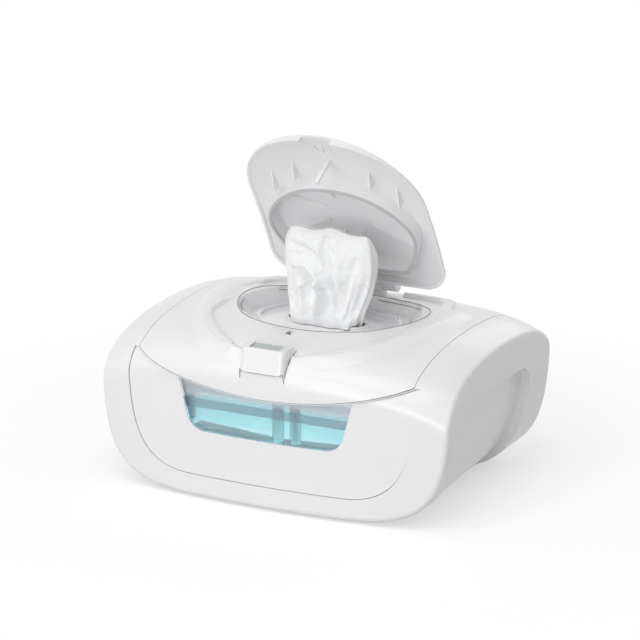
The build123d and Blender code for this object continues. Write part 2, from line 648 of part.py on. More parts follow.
with BuildPart() as water:
    inner_half = TANK_HALF - TANK_WALL - SEAT / 3
    inner_width = TANK_WIDTH - 2 * TANK_WALL - SEAT
    with BuildSketch(Plane.XY.offset(TANK_FLOOR_Z + TANK_WALL)):
        with Locations((0, TANK_MIDDLE_Y)):
            RectangleRounded(2 * inner_half, inner_width, TANK_CORNER - TANK_WALL)
            Circle(WICK_TUBE_RADIUS + SEAT, mode=Mode.SUBTRACT)
        with Locations((WICK_X, TANK_MIDDLE_Y)):
            Circle(WICK_SIDE * 0.8, mode=Mode.SUBTRACT)
    extrude(amount=WATER_Z - TANK_FLOOR_Z - TANK_WALL)
save(water, "water")

INLET_FACE_Y = -(REAR_Y - REAR_BOW * INLET_X ** 2 - INLET_SETBACK)
with BuildPart() as dc_inlet:
    with BuildSketch(Plane.XZ.offset(INLET_FACE_Y)):
        with Locations((INLET_X, INLET_Z)):
            Circle(INLET_RADIUS)
            Circle(INLET_BORE_RADIUS, mode=Mode.SUBTRACT)
    extrude(amount=INLET_DEPTH)
    with BuildSketch(Plane.XZ.offset(INLET_FACE_Y + INLET_DEPTH)):
        with Locations((INLET_X, INLET_Z)):
            Circle(INLET_RADIUS)
            Circle(CHAMBER_RADIUS, mode=Mode.SUBTRACT)
    extrude(amount=CHAMBER_DEPTH)
    with BuildSketch(Plane.XZ.offset(INLET_FACE_Y + INLET_DEPTH + CHAMBER_DEPTH)):
        with Locations((INLET_X, INLET_Z)):
            Circle(INLET_RADIUS)
    extrude(amount=INLET_BACK)
    with BuildSketch(Plane.XZ.offset(INLET_FACE_Y + INLET_DEPTH + CHAMBER_DEPTH)):
        with Locations((INLET_X, INLET_Z)):
            Circle(INLET_PIN_RADIUS)
    extrude(amount=-(CHAMBER_DEPTH - FIT))
save(dc_inlet, "dc_inlet")

LEAD_RADIUS = 0.9
INLET_BACK_Y = -INLET_FACE_Y - INLET_DEPTH - CHAMBER_DEPTH - INLET_BACK
with BuildPart() as power_leads:
    for shift in (-2.5, 2.5):
        x = INLET_X + shift
        route = [(x, INLET_BACK_Y - 0.5, INLET_Z), (x, INLET_BACK_Y - 5, INLET_Z - 6), (x, INLET_BACK_Y - 6, INLET_Z - 24),
                 (x - 12, INLET_BACK_Y - 22, 13), (x - 30, 30, 12), (28 + shift, 4, 13),
                 (24 + shift, -2, BOARD_Z + BOARD_THICK + LEAD_RADIUS + SEAT)]
        with BuildLine() as lead_path:
            Spline(*route)
        start = lead_path.line
        with BuildSketch(Plane(origin=start @ 0, z_dir=start % 0)):
            Circle(LEAD_RADIUS)
        sweep(path=start)
save(power_leads, "power_leads")

with BuildPart() as main_hinge_pins:
    for side in (-1, 1):
        near = side * (KNUCKLE_NEAR - 8) if side > 0 else side * (KNUCKLE_FAR + 8)
        with BuildSketch(knuckle_plane(near)):
            Circle(PIN_RADIUS)
        extrude(amount=KNUCKLE_LENGTH + 16)
save(main_hinge_pins, "main_hinge_pins")


ROUND_ARC = 0.5523          # control share that makes a Bezier curve a quarter round


# ---- Main lid -----------------------------------------------------------------------------------
def oval(grow, front_extra=0.0):
    """The bowl's outline in plan, grown outwards all round and further to the front."""
    half, front, rear = BOWL_HALF + grow, BOWL_FRONT + grow + front_extra, BOWL_REAR + grow
    with BuildSketch() as outline:
        with BuildLine():
            Spline((0, -front), (0.66 * half, -0.74 * front), (half, -2), (0.86 * half, 0.7 * rear), (0, rear),
                   tangents=((1, 0), (-1, 0)))
            Line((0, rear), (0, -front))
        make_face()
        mirror(about=Plane.YZ)
    return outline.sketch


def oval_cup(grow):
    """The bowl's space, sloping inwards to its floor."""
    with BuildPart() as cup:
        add(Plane.XY.offset(ROOF_Z + 2) * oval(grow + 1.5))
        add(Plane.XY.offset(BOWL_FLOOR_Z) * oval(grow - BOWL_SLOPE))
        loft(ruled=True)
    return cup.part


def flip_outline(grow):
    """The dispensing lid in plan: straight sides, round rear corners and a rounded front."""
    half, rear, tip = FLIP_HALF + grow, FLIP_REAR_Y + grow, FLIP_TIP_Y - grow
    start = FLIP_TIP_Y + FLIP_ARCH
    bow = ROUND_ARC * (start - tip)
    with BuildSketch() as outline:
        with BuildLine():
            Bezier((0, tip), (ROUND_ARC * half, tip), (half, start - bow), (half, start))
            Polyline((half, start), (half, rear), (0, rear), (0, tip))
        make_face()
        fillet(outline.vertices().sort_by_distance((half, rear, 0))[0], FLIP_CORNER)
        mirror(about=Plane.YZ)
    return outline.sketch


def prism(sketch, low, high):
    with BuildPart() as block:
        add(Plane.XY.offset(low) * sketch)
        extrude(amount=high - low)
    return block.part


BUTTON_HALF = 11.8
BUTTON_FRONT_Y = -105.1
BUTTON_REAR_Y = -94.6
POCKET_HALF = BUTTON_HALF + FIT
POCKET_FRONT_Y = BUTTON_FRONT_Y - FIT
POCKET_REAR_Y = BUTTON_REAR_Y + BUTTON_TRAVEL + FIT
HOLE_HALF = 10.5            # the button's stem passes the lid through this opening
HOLE_FRONT_Y = -104.0
HOLE_REAR_Y = POCKET_REAR_Y
TONGUE_FRONT_Y = CATCH_Y - 1.5
CATCH_HALF = TONGUE_HALF + 0.6
CATCH_FRONT_Y = CATCH_Y - 4.4
CATCH_REAR_Y = CATCH_Y + 2.9
STOP_Y = -77.0              # the button's return spring pushes against this rib
STOP_THICK = 2.0
SPRING_Z = 112.3
RAIL_X = 9.4
RAIL_THICK = 2.4
RAIL_Y = -82.0
RAIL_LENGTH = 22.0
RAIL_Z = 104.9
FLIP_PLANE = Plane(origin=(0, FLIP_HINGE_Y, FLIP_HINGE_Z), x_dir=(0, 1, 0), z_dir=(1, 0, 0))

with BuildPart() as rim:
    add(casing_form(-RIM_HEIGHT))
    add(prism(oval(RIM_OUTER, RIM_FRONT_EXTRA), 90, 140), mode=Mode.INTERSECT)
    add(prism(oval(RIM_OUTER - RIM_WIDTH, RIM_FRONT_EXTRA), 80, 150), mode=Mode.SUBTRACT)
    fillet(rim.faces().sort_by(Axis.Z)[-1].edges(), 0.9 * RIM_HEIGHT)
    add(HALF_SKIN, mode=Mode.SUBTRACT)
    add(prism(flip_outline(1.5), 80, 150), mode=Mode.SUBTRACT)
    with Locations((0, FLIP_HINGE_Y, ROOF_Z), (0, BEZEL_REAR_Y - 15, ROOF_Z)):
        Box(2 * FLIP_KNUCKLE_FAR + 10, 34, 60, mode=Mode.SUBTRACT)

with BuildPart() as stop_rib:
    with Locations((0, STOP_Y, SPRING_Z - 2)):
        Box(16, STOP_THICK, 12, align=(Align.CENTER, Align.CENTER, Align.MIN))
    # Rails with lips, in which the latch slider runs.
    for side in (-1, 1):
        with Locations((side * (RAIL_X + RAIL_THICK / 2), RAIL_Y, RAIL_Z)):
            Box(RAIL_THICK, RAIL_LENGTH, 30, align=(Align.CENTER, Align.CENTER, Align.MIN))
        with Locations((side * (RAIL_X + RAIL_THICK / 2 - 1.5), RAIL_Y, RAIL_Z)):
            Box(RAIL_THICK + 1.5, RAIL_LENGTH, 1.8, align=(Align.CENTER, Align.CENTER, Align.MIN))
    add(HALF_SKIN, mode=Mode.INTERSECT)

with BuildPart() as bowl:
    add(oval_cup(WALL))
    add(prism(oval(-BOWL_SLOPE + WALL), BOWL_FLOOR_Z - WALL, BOWL_FLOOR_Z))
    add(oval_cup(0), mode=Mode.SUBTRACT)
    add(prism(oval(-BOWL_SLOPE - 7), 90, 130), mode=Mode.SUBTRACT)
    add(HALF_SKIN, mode=Mode.INTERSECT)

with BuildPart() as lid_barrel:
    with BuildSketch(HINGE_PLANE.offset(-BARREL_HALF)):
        Circle(BARREL_RADIUS)
        with Locations((-BARREL_RADIUS / 2 - 1, 0.6)):
            Rectangle(BARREL_RADIUS + 2, WALL)
    extrude(amount=2 * BARREL_HALF)
    add(OUTER, mode=Mode.INTERSECT)

with BuildPart() as main_lid:
    add(SHELL)
    add(lid_region(SEAM), mode=Mode.INTERSECT)
    with Locations((0, MAIN_HINGE_Y, ROOF_Z)):
        Box(300, 2, 60, mode=Mode.SUBTRACT)
    add(oval_cup(0), mode=Mode.SUBTRACT)
    add(bowl.part)
    add(rim.part)
    add(stop_rib.part)
    with BuildSketch(Plane.XY.offset(100)):
        with Locations((0, (HOLE_FRONT_Y + HOLE_REAR_Y) / 2)):
            Rectangle(2 * HOLE_HALF, HOLE_REAR_Y - HOLE_FRONT_Y)
        with Locations((0, (CATCH_FRONT_Y + CATCH_REAR_Y) / 2)):
            Rectangle(2 * CATCH_HALF, CATCH_REAR_Y - CATCH_FRONT_Y)
    extrude(amount=30, mode=Mode.SUBTRACT)
    # The rear edge is a barrel about the hinge line, with gaps for the fixed knuckles.
    add(lid_barrel.part)
    for side in (-1, 1):
        near = side * (KNUCKLE_NEAR - SEAM) if side > 0 else side * (KNUCKLE_FAR + SEAM)
        with BuildSketch(knuckle_plane(near)):
            Circle(BARREL_RADIUS + SEAM)
            with Locations((BARREL_RADIUS, -4)):
                Rectangle(2 * BARREL_RADIUS, 8)
        extrude(amount=KNUCKLE_LENGTH + 2 * SEAM, mode=Mode.SUBTRACT)
    with BuildSketch(knuckle_plane(-KNUCKLE_FAR - 8.2)):
        Circle(PIN_RADIUS + PIN_PLAY)
    extrude(amount=2 * KNUCKLE_FAR + 16.4, mode=Mode.SUBTRACT)
    # The fixed knuckle of the dispensing lid's hinge, with room for its spring at the middle.
    with BuildSketch(FLIP_PLANE.offset(-FLIP_KNUCKLE_NEAR + SEAM)):
        Circle(FLIP_KNUCKLE_RADIUS)
        with Locations((0, (ROOF_Z - 5 - FLIP_HINGE_Z) / 2)):
            Rectangle(2 * FLIP_KNUCKLE_RADIUS, FLIP_HINGE_Z - ROOF_Z + 5)
    extrude(amount=2 * (FLIP_KNUCKLE_NEAR - SEAM))
    with Locations((0, FLIP_HINGE_Y, FLIP_HINGE_Z)):
        Box(16, 14, 9, mode=Mode.SUBTRACT)
    with BuildSketch(FLIP_PLANE.offset(-40)):
        Circle(PIN_RADIUS + PIN_PLAY)
    extrude(amount=80, mode=Mode.SUBTRACT)
save(main_lid, "main_lid")

with BuildPart() as dispensing_insert:
    add(prism(oval(-BOWL_SLOPE - SEAM), BOWL_FLOOR_Z, BOWL_FLOOR_Z + INSERT_THICK))
    add(prism(oval(-INSERT_RING_INSET), BOWL_FLOOR_Z, BOWL_FLOOR_Z + INSERT_RING_HEIGHT))
    add(prism(oval(-INSERT_RING_INSET - 2), BOWL_FLOOR_Z + INSERT_THICK, 130), mode=Mode.SUBTRACT)
    with BuildSketch(Plane.XY.offset(BOWL_FLOOR_Z)):
        with Locations((0, SLOT_Y)):
            SlotOverall(SLOT_LENGTH + 2 * SLOT_LIP, SLOT_WIDTH + 2 * SLOT_LIP)
    extrude(amount=INSERT_RING_HEIGHT)
    with BuildSketch(Plane.XY.offset(BOWL_FLOOR_Z)):
        with Locations((0, SLOT_Y)):
            SlotOverall(SLOT_LENGTH, SLOT_WIDTH)
    extrude(amount=20, mode=Mode.SUBTRACT)
save(dispensing_insert, "dispensing_insert")

with BuildPart() as tub_seal:
    with BuildSketch(Plane.XY.offset(TUB_TOP_Z + SEAT)):
        with Locations((0, TUB_MIDDLE_Y)):
            RectangleRounded(TUB_LENGTH + TUB_FLANGE, TUB_WIDTH + TUB_FLANGE, TUB_CORNER + TUB_FLANGE / 2)
            RectangleRounded(TUB_LENGTH - 1, TUB_WIDTH - 1, TUB_CORNER, mode=Mode.SUBTRACT)
    extrude(amount=SEAL_HEIGHT)
save(tub_seal, "tub_seal")

LINER_Z = TUB_TOP_Z + SEAT + SEAL_HEIGHT
with BuildPart() as lid_liner:
    add(casing_form(WALL + FIT))
    with Locations((0, LINER_Y, LINER_Z)):
        Box(2 * LINER_HALF, LINER_LENGTH, LINER_THICK, align=(Align.CENTER, Align.CENTER, Align.MIN),
            mode=Mode.INTERSECT)
    with BuildSketch(Plane.XY.offset(LINER_Z)):
        with Locations((0, LINER_Y)):
            with GridLocations(LINER_POST_X * 2, LINER_POST_Y * 2, 2, 2):
                Circle(LINER_POST_RADIUS)
    extrude(amount=30)
    add(prism(oval(-BOWL_SLOPE - 5), 90, 140), mode=Mode.SUBTRACT)
    add(casing_form(WALL + SEAT), mode=Mode.INTERSECT)
    add(oval_cup(WALL + FIT), mode=Mode.SUBTRACT)
save(lid_liner, "lid_liner")


# ---- Release button -----------------------------------------------------------------------------
SLIDER_HALF = 9.0
SLIDER_Z = 107.0
SLIDER_THICK = 2.5
SLIDER_FRONT_Y = -97.5
SLIDER_REAR_Y = -55.5
WINDOW_FRONT_Y = TONGUE_FRONT_Y - BUTTON_TRAVEL - FIT
WINDOW_REAR_Y = CATCH_Y + 2.7
TAB_Y = -88.5
TAB_THICK = 2.0



def is_bezel_corner(edge):
    """The two upright edges of the bezel's front face and the two lower ones of its sides."""
    middle = edge.center()
    return abs(middle.X) > BEZEL_HALF - 0.1 and middle.Y < BEZEL_FRONT_Y + BEZEL_LEAN


def is_bezel_brim(edge):
    """The edges round the bezel's top, apart from the one at its rear."""
    middle = edge.center()
    return middle.Z > BEZEL_TOP_Z - 0.5 and middle.Y < BEZEL_REAR_Y - 0.1


with BuildPart() as button_bezel:
    with BuildSketch(Plane.YZ.offset(-BEZEL_HALF)) as bezel_side:
        with BuildLine():
            Polyline((BEZEL_FRONT_Y, BEZEL_BOTTOM_Z), (BEZEL_FRONT_Y + BEZEL_LEAN, BEZEL_TOP_Z),
                     (BEZEL_REAR_Y, BEZEL_TOP_Z + 1.5), (BEZEL_REAR_Y, 100), (BEZEL_FRONT_Y, 100), close=True)
        make_face()
    extrude(amount=2 * BEZEL_HALF)
    with Locations((0, BEZEL_FRONT_Y, BEZEL_BOTTOM_Z)):
        Box(4 * BEZEL_HALF, 4 * BEZEL_HALF, 20, align=(Align.CENTER, Align.CENTER, Align.MAX), mode=Mode.SUBTRACT)
    corners = [edge for edge in button_bezel.edges() if is_bezel_corner(edge)]
    fillet(corners, BEZEL_CORNER)
    fillet([edge for edge in button_bezel.edges() if is_bezel_brim(edge)], BEZEL_BRIM)
    with BuildSketch(Plane.XY.offset(95)):
        with Locations((0, (POCKET_FRONT_Y + POCKET_REAR_Y) / 2)):
            Rectangle(2 * POCKET_HALF, POCKET_REAR_Y - POCKET_FRONT_Y)
    extrude(amount=40, mode=Mode.SUBTRACT)
    add(prism(flip_outline(FLIP_GAP), 95, 140), mode=Mode.SUBTRACT)
    add(casing_form(-PIN_PLAY), mode=Mode.SUBTRACT)
save(button_bezel, "button_bezel")

with BuildPart() as release_button:
    with BuildSketch(Plane.YZ.offset(-BUTTON_HALF)) as cap_side:
        with BuildLine():
            Polyline((BUTTON_FRONT_Y, 116), (BUTTON_FRONT_Y, 119), (BUTTON_FRONT_Y + 3, 120.4),
                     (BUTTON_REAR_Y, 121.6), (BUTTON_REAR_Y, 118.5), (BUTTON_FRONT_Y + 5, 116), close=True)
        make_face()
    extrude(amount=2 * BUTTON_HALF)
    with BuildSketch(Plane.XY.offset(SLIDER_Z)):
        with Locations((0, (SLIDER_FRONT_Y + BUTTON_REAR_Y) / 2)):
            Rectangle(2 * SLIDER_HALF, BUTTON_REAR_Y - SLIDER_FRONT_Y)
    extrude(amount=12.5)
save(release_button, "release_button")

with BuildPart() as latch_slider:
    with BuildSketch(Plane.XY.offset(SLIDER_Z)):
        with Locations((0, (BUTTON_REAR_Y + SLIDER_REAR_Y) / 2)):
            Rectangle(2 * SLIDER_HALF, SLIDER_REAR_Y - BUTTON_REAR_Y)
        with Locations((0, (WINDOW_FRONT_Y + WINDOW_REAR_Y) / 2)):
            Rectangle(2 * CATCH_HALF + 1, WINDOW_REAR_Y - WINDOW_FRONT_Y, mode=Mode.SUBTRACT)
    extrude(amount=SLIDER_THICK)
    with Locations((0, TAB_Y, SLIDER_Z + SLIDER_THICK)):
        Box(8, TAB_THICK, 5.5, align=(Align.CENTER, Align.CENTER, Align.MIN))
save(latch_slider, "latch_slider")


def coil(radius, wire, length, turns, start, direction):
    """An open coil of round wire from its start along its direction."""
    with BuildPart() as winding:
        with BuildLine() as turn_line:
            Helix(length / turns, length, radius, center=start, direction=direction)
        path = turn_line.line
        with BuildSketch(Plane(origin=path @ 0, z_dir=path % 0)):
            Circle(wire)
        sweep(path=path)
    return winding


SPRING_WIRE = 0.3
SPRING_START_Y = TAB_Y + TAB_THICK / 2 + SEAT + SPRING_WIRE
SPRING_END_Y = STOP_Y - STOP_THICK / 2 - SEAT - SPRING_WIRE
button_spring = coil(1.6, SPRING_WIRE, SPRING_END_Y - SPRING_START_Y, 6, (0, SPRING_START_Y, SPRING_Z), (0, 1, 0))
save(button_spring, "button_spring")

# ---- Dispensing lid -----------------------------------------------------------------------------
def dome(inset):
    """A barrel that is curved both ways, whose top is the dispensing lid's outer face."""
    top = FLIP_TOP_Z - inset
    axis_z = FLIP_TOP_Z - FLIP_CROSS_RADIUS
    drop = FLIP_LONG_RADIUS - (FLIP_LONG_RADIUS ** 2 - 100 ** 2) ** 0.5
    with BuildPart() as barrel:
        with BuildSketch(Plane.YZ):
            with BuildLine():
                ThreePointArc((-100, top - drop), (0, top), (100, top - drop))
                Polyline((100, top - drop), (100, axis_z), (-100, axis_z), (-100, top - drop))
            make_face()
        revolve(axis=Axis((0, 0, axis_z), (0, 1, 0)))
    return barrel.part


def opened(piece):
    """Turn a piece of the dispensing lid from its shut place to its open one."""
    return piece.rotate(Axis((0, FLIP_HINGE_Y, FLIP_HINGE_Z), (1, 0, 0)), -FLIP_OPEN)


DOME_OUTER = dome(0)
DOME_INNER = dome(FLIP_WALL)
DOME_MID = dome(FLIP_WALL / 2)
LID_UNDERSIDE = casing_form(-FLIP_GAP)

with BuildPart() as flip_hollow:
    add(prism(flip_outline(-FLIP_WALL), 90, 160))
    add(DOME_INNER, mode=Mode.INTERSECT)

with BuildPart() as flip_shut:
    add(prism(flip_outline(0), 100, 160))
    add(DOME_OUTER, mode=Mode.INTERSECT)
    fillet([edge for edge in flip_shut.edges() if edge.center().Z > 110], FLIP_EDGE)
    add(flip_hollow.part, mode=Mode.SUBTRACT)
    # A notch in its skirt, into which the button moves when it is pressed.
    with BuildSketch(Plane.XY.offset(100)):
        with Locations((0, (FLIP_TIP_Y + POCKET_REAR_Y) / 2)):
            Rectangle(2 * POCKET_HALF, 2 * FIT + POCKET_REAR_Y - FLIP_TIP_Y)
    extrude(amount=NOTCH_TOP_Z - 100, mode=Mode.SUBTRACT)
    add(LID_UNDERSIDE, mode=Mode.SUBTRACT)

with BuildPart() as stiffeners:
    add(prism(oval(-SEAL_INSET), SEAL_BOTTOM_Z, 150))
    add(prism(oval(-SEAL_INSET - SEAL_WALL), 100, 160), mode=Mode.SUBTRACT)
    for side in (-1, 1):
        for x, far_y, near_y in GUSSETS:
            with BuildSketch(Plane.YZ.offset(side * x - GUSSET_THICK / 2)):
                with BuildLine():
                    Polyline((far_y, 140), (far_y, 131), (near_y, SEAL_BOTTOM_Z + 4), (near_y, 140), close=True)
                make_face()
            extrude(amount=GUSSET_THICK)
    for x in (-18, 18):
        with BuildSketch(Plane.XY.offset(126)):
            with Locations((x, FLIP_TIP_Y + 9)):
                SlotOverall(9, 1.6, rotation=90)
        extrude(amount=14)
    # The boss near the tip, with its two half-round pockets.
    with BuildSketch(Plane.XY.offset(BOSS_Z)):
        with Locations((0, BOSS_Y)):
            Circle(BOSS_RADIUS)
    extrude(amount=150 - BOSS_Z)
    with BuildSketch(Plane.XY.offset(BOSS_Z)):
        with Locations((0, BOSS_Y)):
            Circle(BOSS_RADIUS - 1.2)
            Rectangle(1.6, 30, mode=Mode.SUBTRACT)
    extrude(amount=8, mode=Mode.SUBTRACT)
    # The latch tongue, with its barb to the rear.
    with BuildSketch(Plane.YZ.offset(-TONGUE_HALF)):
        with BuildLine():
            Polyline((TONGUE_FRONT_Y, 140), (TONGUE_FRONT_Y, TONGUE_Z), (CATCH_Y + 0.2, TONGUE_Z),
                     (CATCH_Y + 2.3, TONGUE_Z + 1.3), (CATCH_Y + 2.3, SLIDER_Z - FIT), (CATCH_Y + 0.7, SLIDER_Z - FIT),
                     (CATCH_Y + 0.7, 140), close=True)
        make_face()
    extrude(amount=2 * TONGUE_HALF)
    add(DOME_MID, mode=Mode.INTERSECT)

with BuildPart() as ribs:
    with BuildSketch(Plane.XY.offset(FLIP_TOP_Z - FLIP_WALL - 12)):
        with Locations((0, SLOT_Y)):
            for number in range(RIB_COUNT):
                angle = 360 * (number + 0.5) / RIB_COUNT
                with Locations(Location((0, 0, 0), (0, 0, angle))):
                    with Locations((BOWL_REAR - RIB_LENGTH / 2 + 4, 0)):
                        Rectangle(RIB_LENGTH + 24, 1.2)
    extrude(amount=20)
    add(dome(FLIP_WALL + 2.5), mode=Mode.SUBTRACT)
    add(DOME_MID, mode=Mode.INTERSECT)
    add(prism(oval(-SEAL_INSET - 1), 100, 160), mode=Mode.INTERSECT)

with BuildPart() as flip_necks:
    for side in (-1, 1):
        near = side * FLIP_KNUCKLE_NEAR if side > 0 else side * FLIP_KNUCKLE_FAR
        with BuildSketch(FLIP_PLANE.offset(near)):
            Circle(FLIP_KNUCKLE_RADIUS)
            with Locations((-4, -0.5)):
                Rectangle(8, 2 * FLIP_KNUCKLE_RADIUS - 1)
        extrude(amount=FLIP_KNUCKLE_FAR - FLIP_KNUCKLE_NEAR)

with BuildPart() as flip_lid:
    add(opened(flip_shut.part))
    add(opened(stiffeners.part))
    add(opened(ribs.part))
    add(opened(flip_necks.part))
    with BuildSketch(FLIP_PLANE.offset(-40)):
        Circle(PIN_RADIUS + PIN_PLAY)
    extrude(amount=80, mode=Mode.SUBTRACT)
save(flip_lid, "flip_lid")

with BuildPart() as seal_shut:
    add(prism(oval(-SEAL_INSET), SEAL_BOTTOM_Z - SEAL_STRIP, SEAL_BOTTOM_Z))
    add(prism(oval(-SEAL_INSET - SEAL_WALL), 90, 160), mode=Mode.SUBTRACT)
with BuildPart() as flip_lid_seal:
    add(opened(seal_shut.part))
save(flip_lid_seal, "flip_lid_seal")

with BuildPart() as flip_hinge_pin:
    with BuildSketch(FLIP_PLANE.offset(-FLIP_KNUCKLE_FAR)):
        Circle(PIN_RADIUS)
    extrude(amount=2 * FLIP_KNUCKLE_FAR)
save(flip_hinge_pin, "flip_hinge_pin")

flip_spring = coil(2.3, 0.4, 13, 9, (-6.5, FLIP_HINGE_Y, FLIP_HINGE_Z), (1, 0, 0))
save(flip_spring, "flip_spring")


# ---- Pulled wipe --------------------------------------------------------------------------------
def wipe_section(height, half_width, half_depth, shift):
    """One level of the gathered wipe: an oval with two deep folds and small ones between."""
    points = []
    for number in range(WIPE_POINTS):
        angle = 360 * number / WIPE_POINTS
        fold = 1 + WIPE_FOLD * (1 if number % 2 else -1)
        points.append((shift + half_width * fold * Vector(1, 0).rotate(Axis.Z, angle).X,
                       SLOT_Y + half_depth * fold * Vector(1, 0).rotate(Axis.Z, angle).Y))
    with BuildSketch(Plane.XY.offset(height)) as level:
        with BuildLine():
            Spline(*points, periodic=True)
        make_face()
    return level.sketch


with BuildPart() as pulled_wipe:
    for level in WIPE_LEVELS:
        add(wipe_section(*level))
    loft()
save(pulled_wipe, "pulled_wipe")
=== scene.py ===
import json
import math

import bpy
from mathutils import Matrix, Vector, noise as noise_field


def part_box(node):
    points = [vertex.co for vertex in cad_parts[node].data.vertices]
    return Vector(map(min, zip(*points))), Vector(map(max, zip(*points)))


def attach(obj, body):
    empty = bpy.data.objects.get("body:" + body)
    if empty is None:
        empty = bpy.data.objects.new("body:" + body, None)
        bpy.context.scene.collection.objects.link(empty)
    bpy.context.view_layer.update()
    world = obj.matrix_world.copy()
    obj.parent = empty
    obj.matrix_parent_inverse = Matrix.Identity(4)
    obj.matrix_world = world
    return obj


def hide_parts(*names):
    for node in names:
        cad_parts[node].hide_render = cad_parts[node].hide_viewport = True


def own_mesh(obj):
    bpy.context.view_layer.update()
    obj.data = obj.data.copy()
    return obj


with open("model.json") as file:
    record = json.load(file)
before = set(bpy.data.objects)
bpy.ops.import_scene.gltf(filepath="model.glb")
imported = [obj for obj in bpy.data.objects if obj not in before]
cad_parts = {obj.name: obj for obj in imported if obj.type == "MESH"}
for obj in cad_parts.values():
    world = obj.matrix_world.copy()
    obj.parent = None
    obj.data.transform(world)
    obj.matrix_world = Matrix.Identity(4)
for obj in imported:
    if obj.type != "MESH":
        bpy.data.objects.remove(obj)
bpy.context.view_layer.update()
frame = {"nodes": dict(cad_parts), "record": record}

NODES = frame["nodes"]

# ---- Camera, in metres and degrees: the photograph's view ---------------------------------------
CAMERA_AZIMUTH = 26.5
CAMERA_ELEVATION = 17.2
CAMERA_DISTANCE = 2.659
CAMERA_TARGET = Vector((-0.0078, 0.0, 0.1127))
CAMERA_LENS = 202.4
SENSOR = 36.0


def add_camera():
    azimuth = math.radians(CAMERA_AZIMUTH)
    elevation = math.radians(CAMERA_ELEVATION)
    back = Vector((math.sin(azimuth) * math.cos(elevation), -math.cos(azimuth) * math.cos(elevation),
                   math.sin(elevation)))
    data = bpy.data.cameras.new("camera")
    data.lens = CAMERA_LENS
    data.sensor_width = SENSOR
    data.sensor_fit = "HORIZONTAL"
    data.clip_end = 20
    camera = bpy.data.objects.new("camera", data)
    camera.location = CAMERA_TARGET + back * CAMERA_DISTANCE
    camera.rotation_euler = back.to_track_quat("Z", "Y").to_euler()
    bpy.context.collection.objects.link(camera)
    bpy.context.scene.camera = camera


# ---- Materials ----------------------------------------------------------------------------------
FLOW_SCALE = 18.0           # scales of the noise textures
GRAIN_SCALE = 900.0
SWIRL_SCALE = 40.0
STREAK_SCALE = 260.0
FIBRE_SCALE = 420.0
GRAIN_DEPTH = 0.0004        # relief, in metres
FIBRE_DEPTH = 0.0006
COAT_ROUGHNESS = 0.12
MOULDED_SCATTER = (0.004, 0.004, 0.004)
WIPE_SCATTER = (0.006, 0.006, 0.006)


def new_material(name):
    material = bpy.data.materials.new(name)
    material.use_nodes = True
    nodes = material.node_tree.nodes
    return material, nodes, material.node_tree.links, nodes["Principled BSDF"]


def noise(nodes, links, scale, detail=3.0, roughness=0.55):
    """A noise texture in object space."""
    place = nodes.new("ShaderNodeTexCoord")
    texture = nodes.new("ShaderNodeTexNoise")
    texture.inputs["Scale"].default_value = scale
    texture.inputs["Detail"].default_value = detail
    texture.inputs["Roughness"].default_value = roughness
    links.new(place.outputs["Object"], texture.inputs["Vector"])
    return texture


def ramp(nodes, links, source, low, high, start=0.3, end=0.7):
    """A colour between low and high by the source's value."""
    steps = nodes.new("ShaderNodeValToRGB")
    steps.color_ramp.elements[0].position = start
    steps.color_ramp.elements[1].position = end
    steps.color_ramp.elements[0].color = (*low, 1)
    steps.color_ramp.elements[1].color = (*high, 1)
    links.new(source, steps.inputs["Fac"])
    return steps.outputs["Color"]


def change(nodes, links, source, start=0.0, end=1.0, before=0.0, after=1.0):
    """A number that goes from before to after while the source goes from start to end."""
    node = nodes.new("ShaderNodeMapRange")
    node.inputs["From Min"].default_value = start
    node.inputs["From Max"].default_value = end
    node.inputs["To Min"].default_value = before
    node.inputs["To Max"].default_value = after
    links.new(source, node.inputs["Value"])
    return node.outputs["Result"]


def span(nodes, links, source, low, high):
    """A number between low and high by the source's value."""
    return change(nodes, links, source, before=low, after=high)


def maths(nodes, links, operation, first, second):
    node = nodes.new("ShaderNodeMath")
    node.operation = operation
    links.new(first, node.inputs[0])
    links.new(second, node.inputs[1])
    return node.outputs[0]


def mix(nodes, links, share, first, second):
    """A mix of two shaders. The share of the second is a number or another node's result."""
    node = nodes.new("ShaderNodeMixShader")
    if isinstance(share, float):
        node.inputs["Fac"].default_value = share
    else:
        links.new(share, node.inputs["Fac"])
    links.new(first, node.inputs[1])
    links.new(second, node.inputs[2])
    return node.outputs["Shader"]


def shade(tone, share):
    return tuple(channel * share for channel in tone)


def bump(nodes, links, source, shader, strength, distance):
    relief = nodes.new("ShaderNodeBump")
    relief.inputs["Strength"].default_value = strength
    relief.inputs["Distance"].default_value = distance
    links.new(source, relief.inputs["Height"])
    links.new(relief.outputs["Normal"], shader.inputs["Normal"])


def moulded(name, low, high, rough, grain=GRAIN_SCALE, relief=0.04, coat=0.0, subsurface=0.0):
    """Moulded plastic: faint flow marks in its colour and gloss, and a fine surface grain."""
    material, nodes, links, shader = new_material(name)
    flow = noise(nodes, links, FLOW_SCALE, 4.0)
    links.new(ramp(nodes, links, flow.outputs["Fac"], low, high), shader.inputs["Base Color"])
    links.new(span(nodes, links, flow.outputs["Fac"], rough * 0.97, rough * 1.03),
              shader.inputs["Roughness"])
    fine = noise(nodes, links, grain, 2.0)
    bump(nodes, links, fine.outputs["Fac"], shader, relief, GRAIN_DEPTH)
    shader.inputs["Coat Weight"].default_value = coat
    shader.inputs["Coat Roughness"].default_value = COAT_ROUGHNESS
    shader.inputs["Subsurface Weight"].default_value = subsurface
    shader.inputs["Subsurface Radius"].default_value = MOULDED_SCATTER
    return material


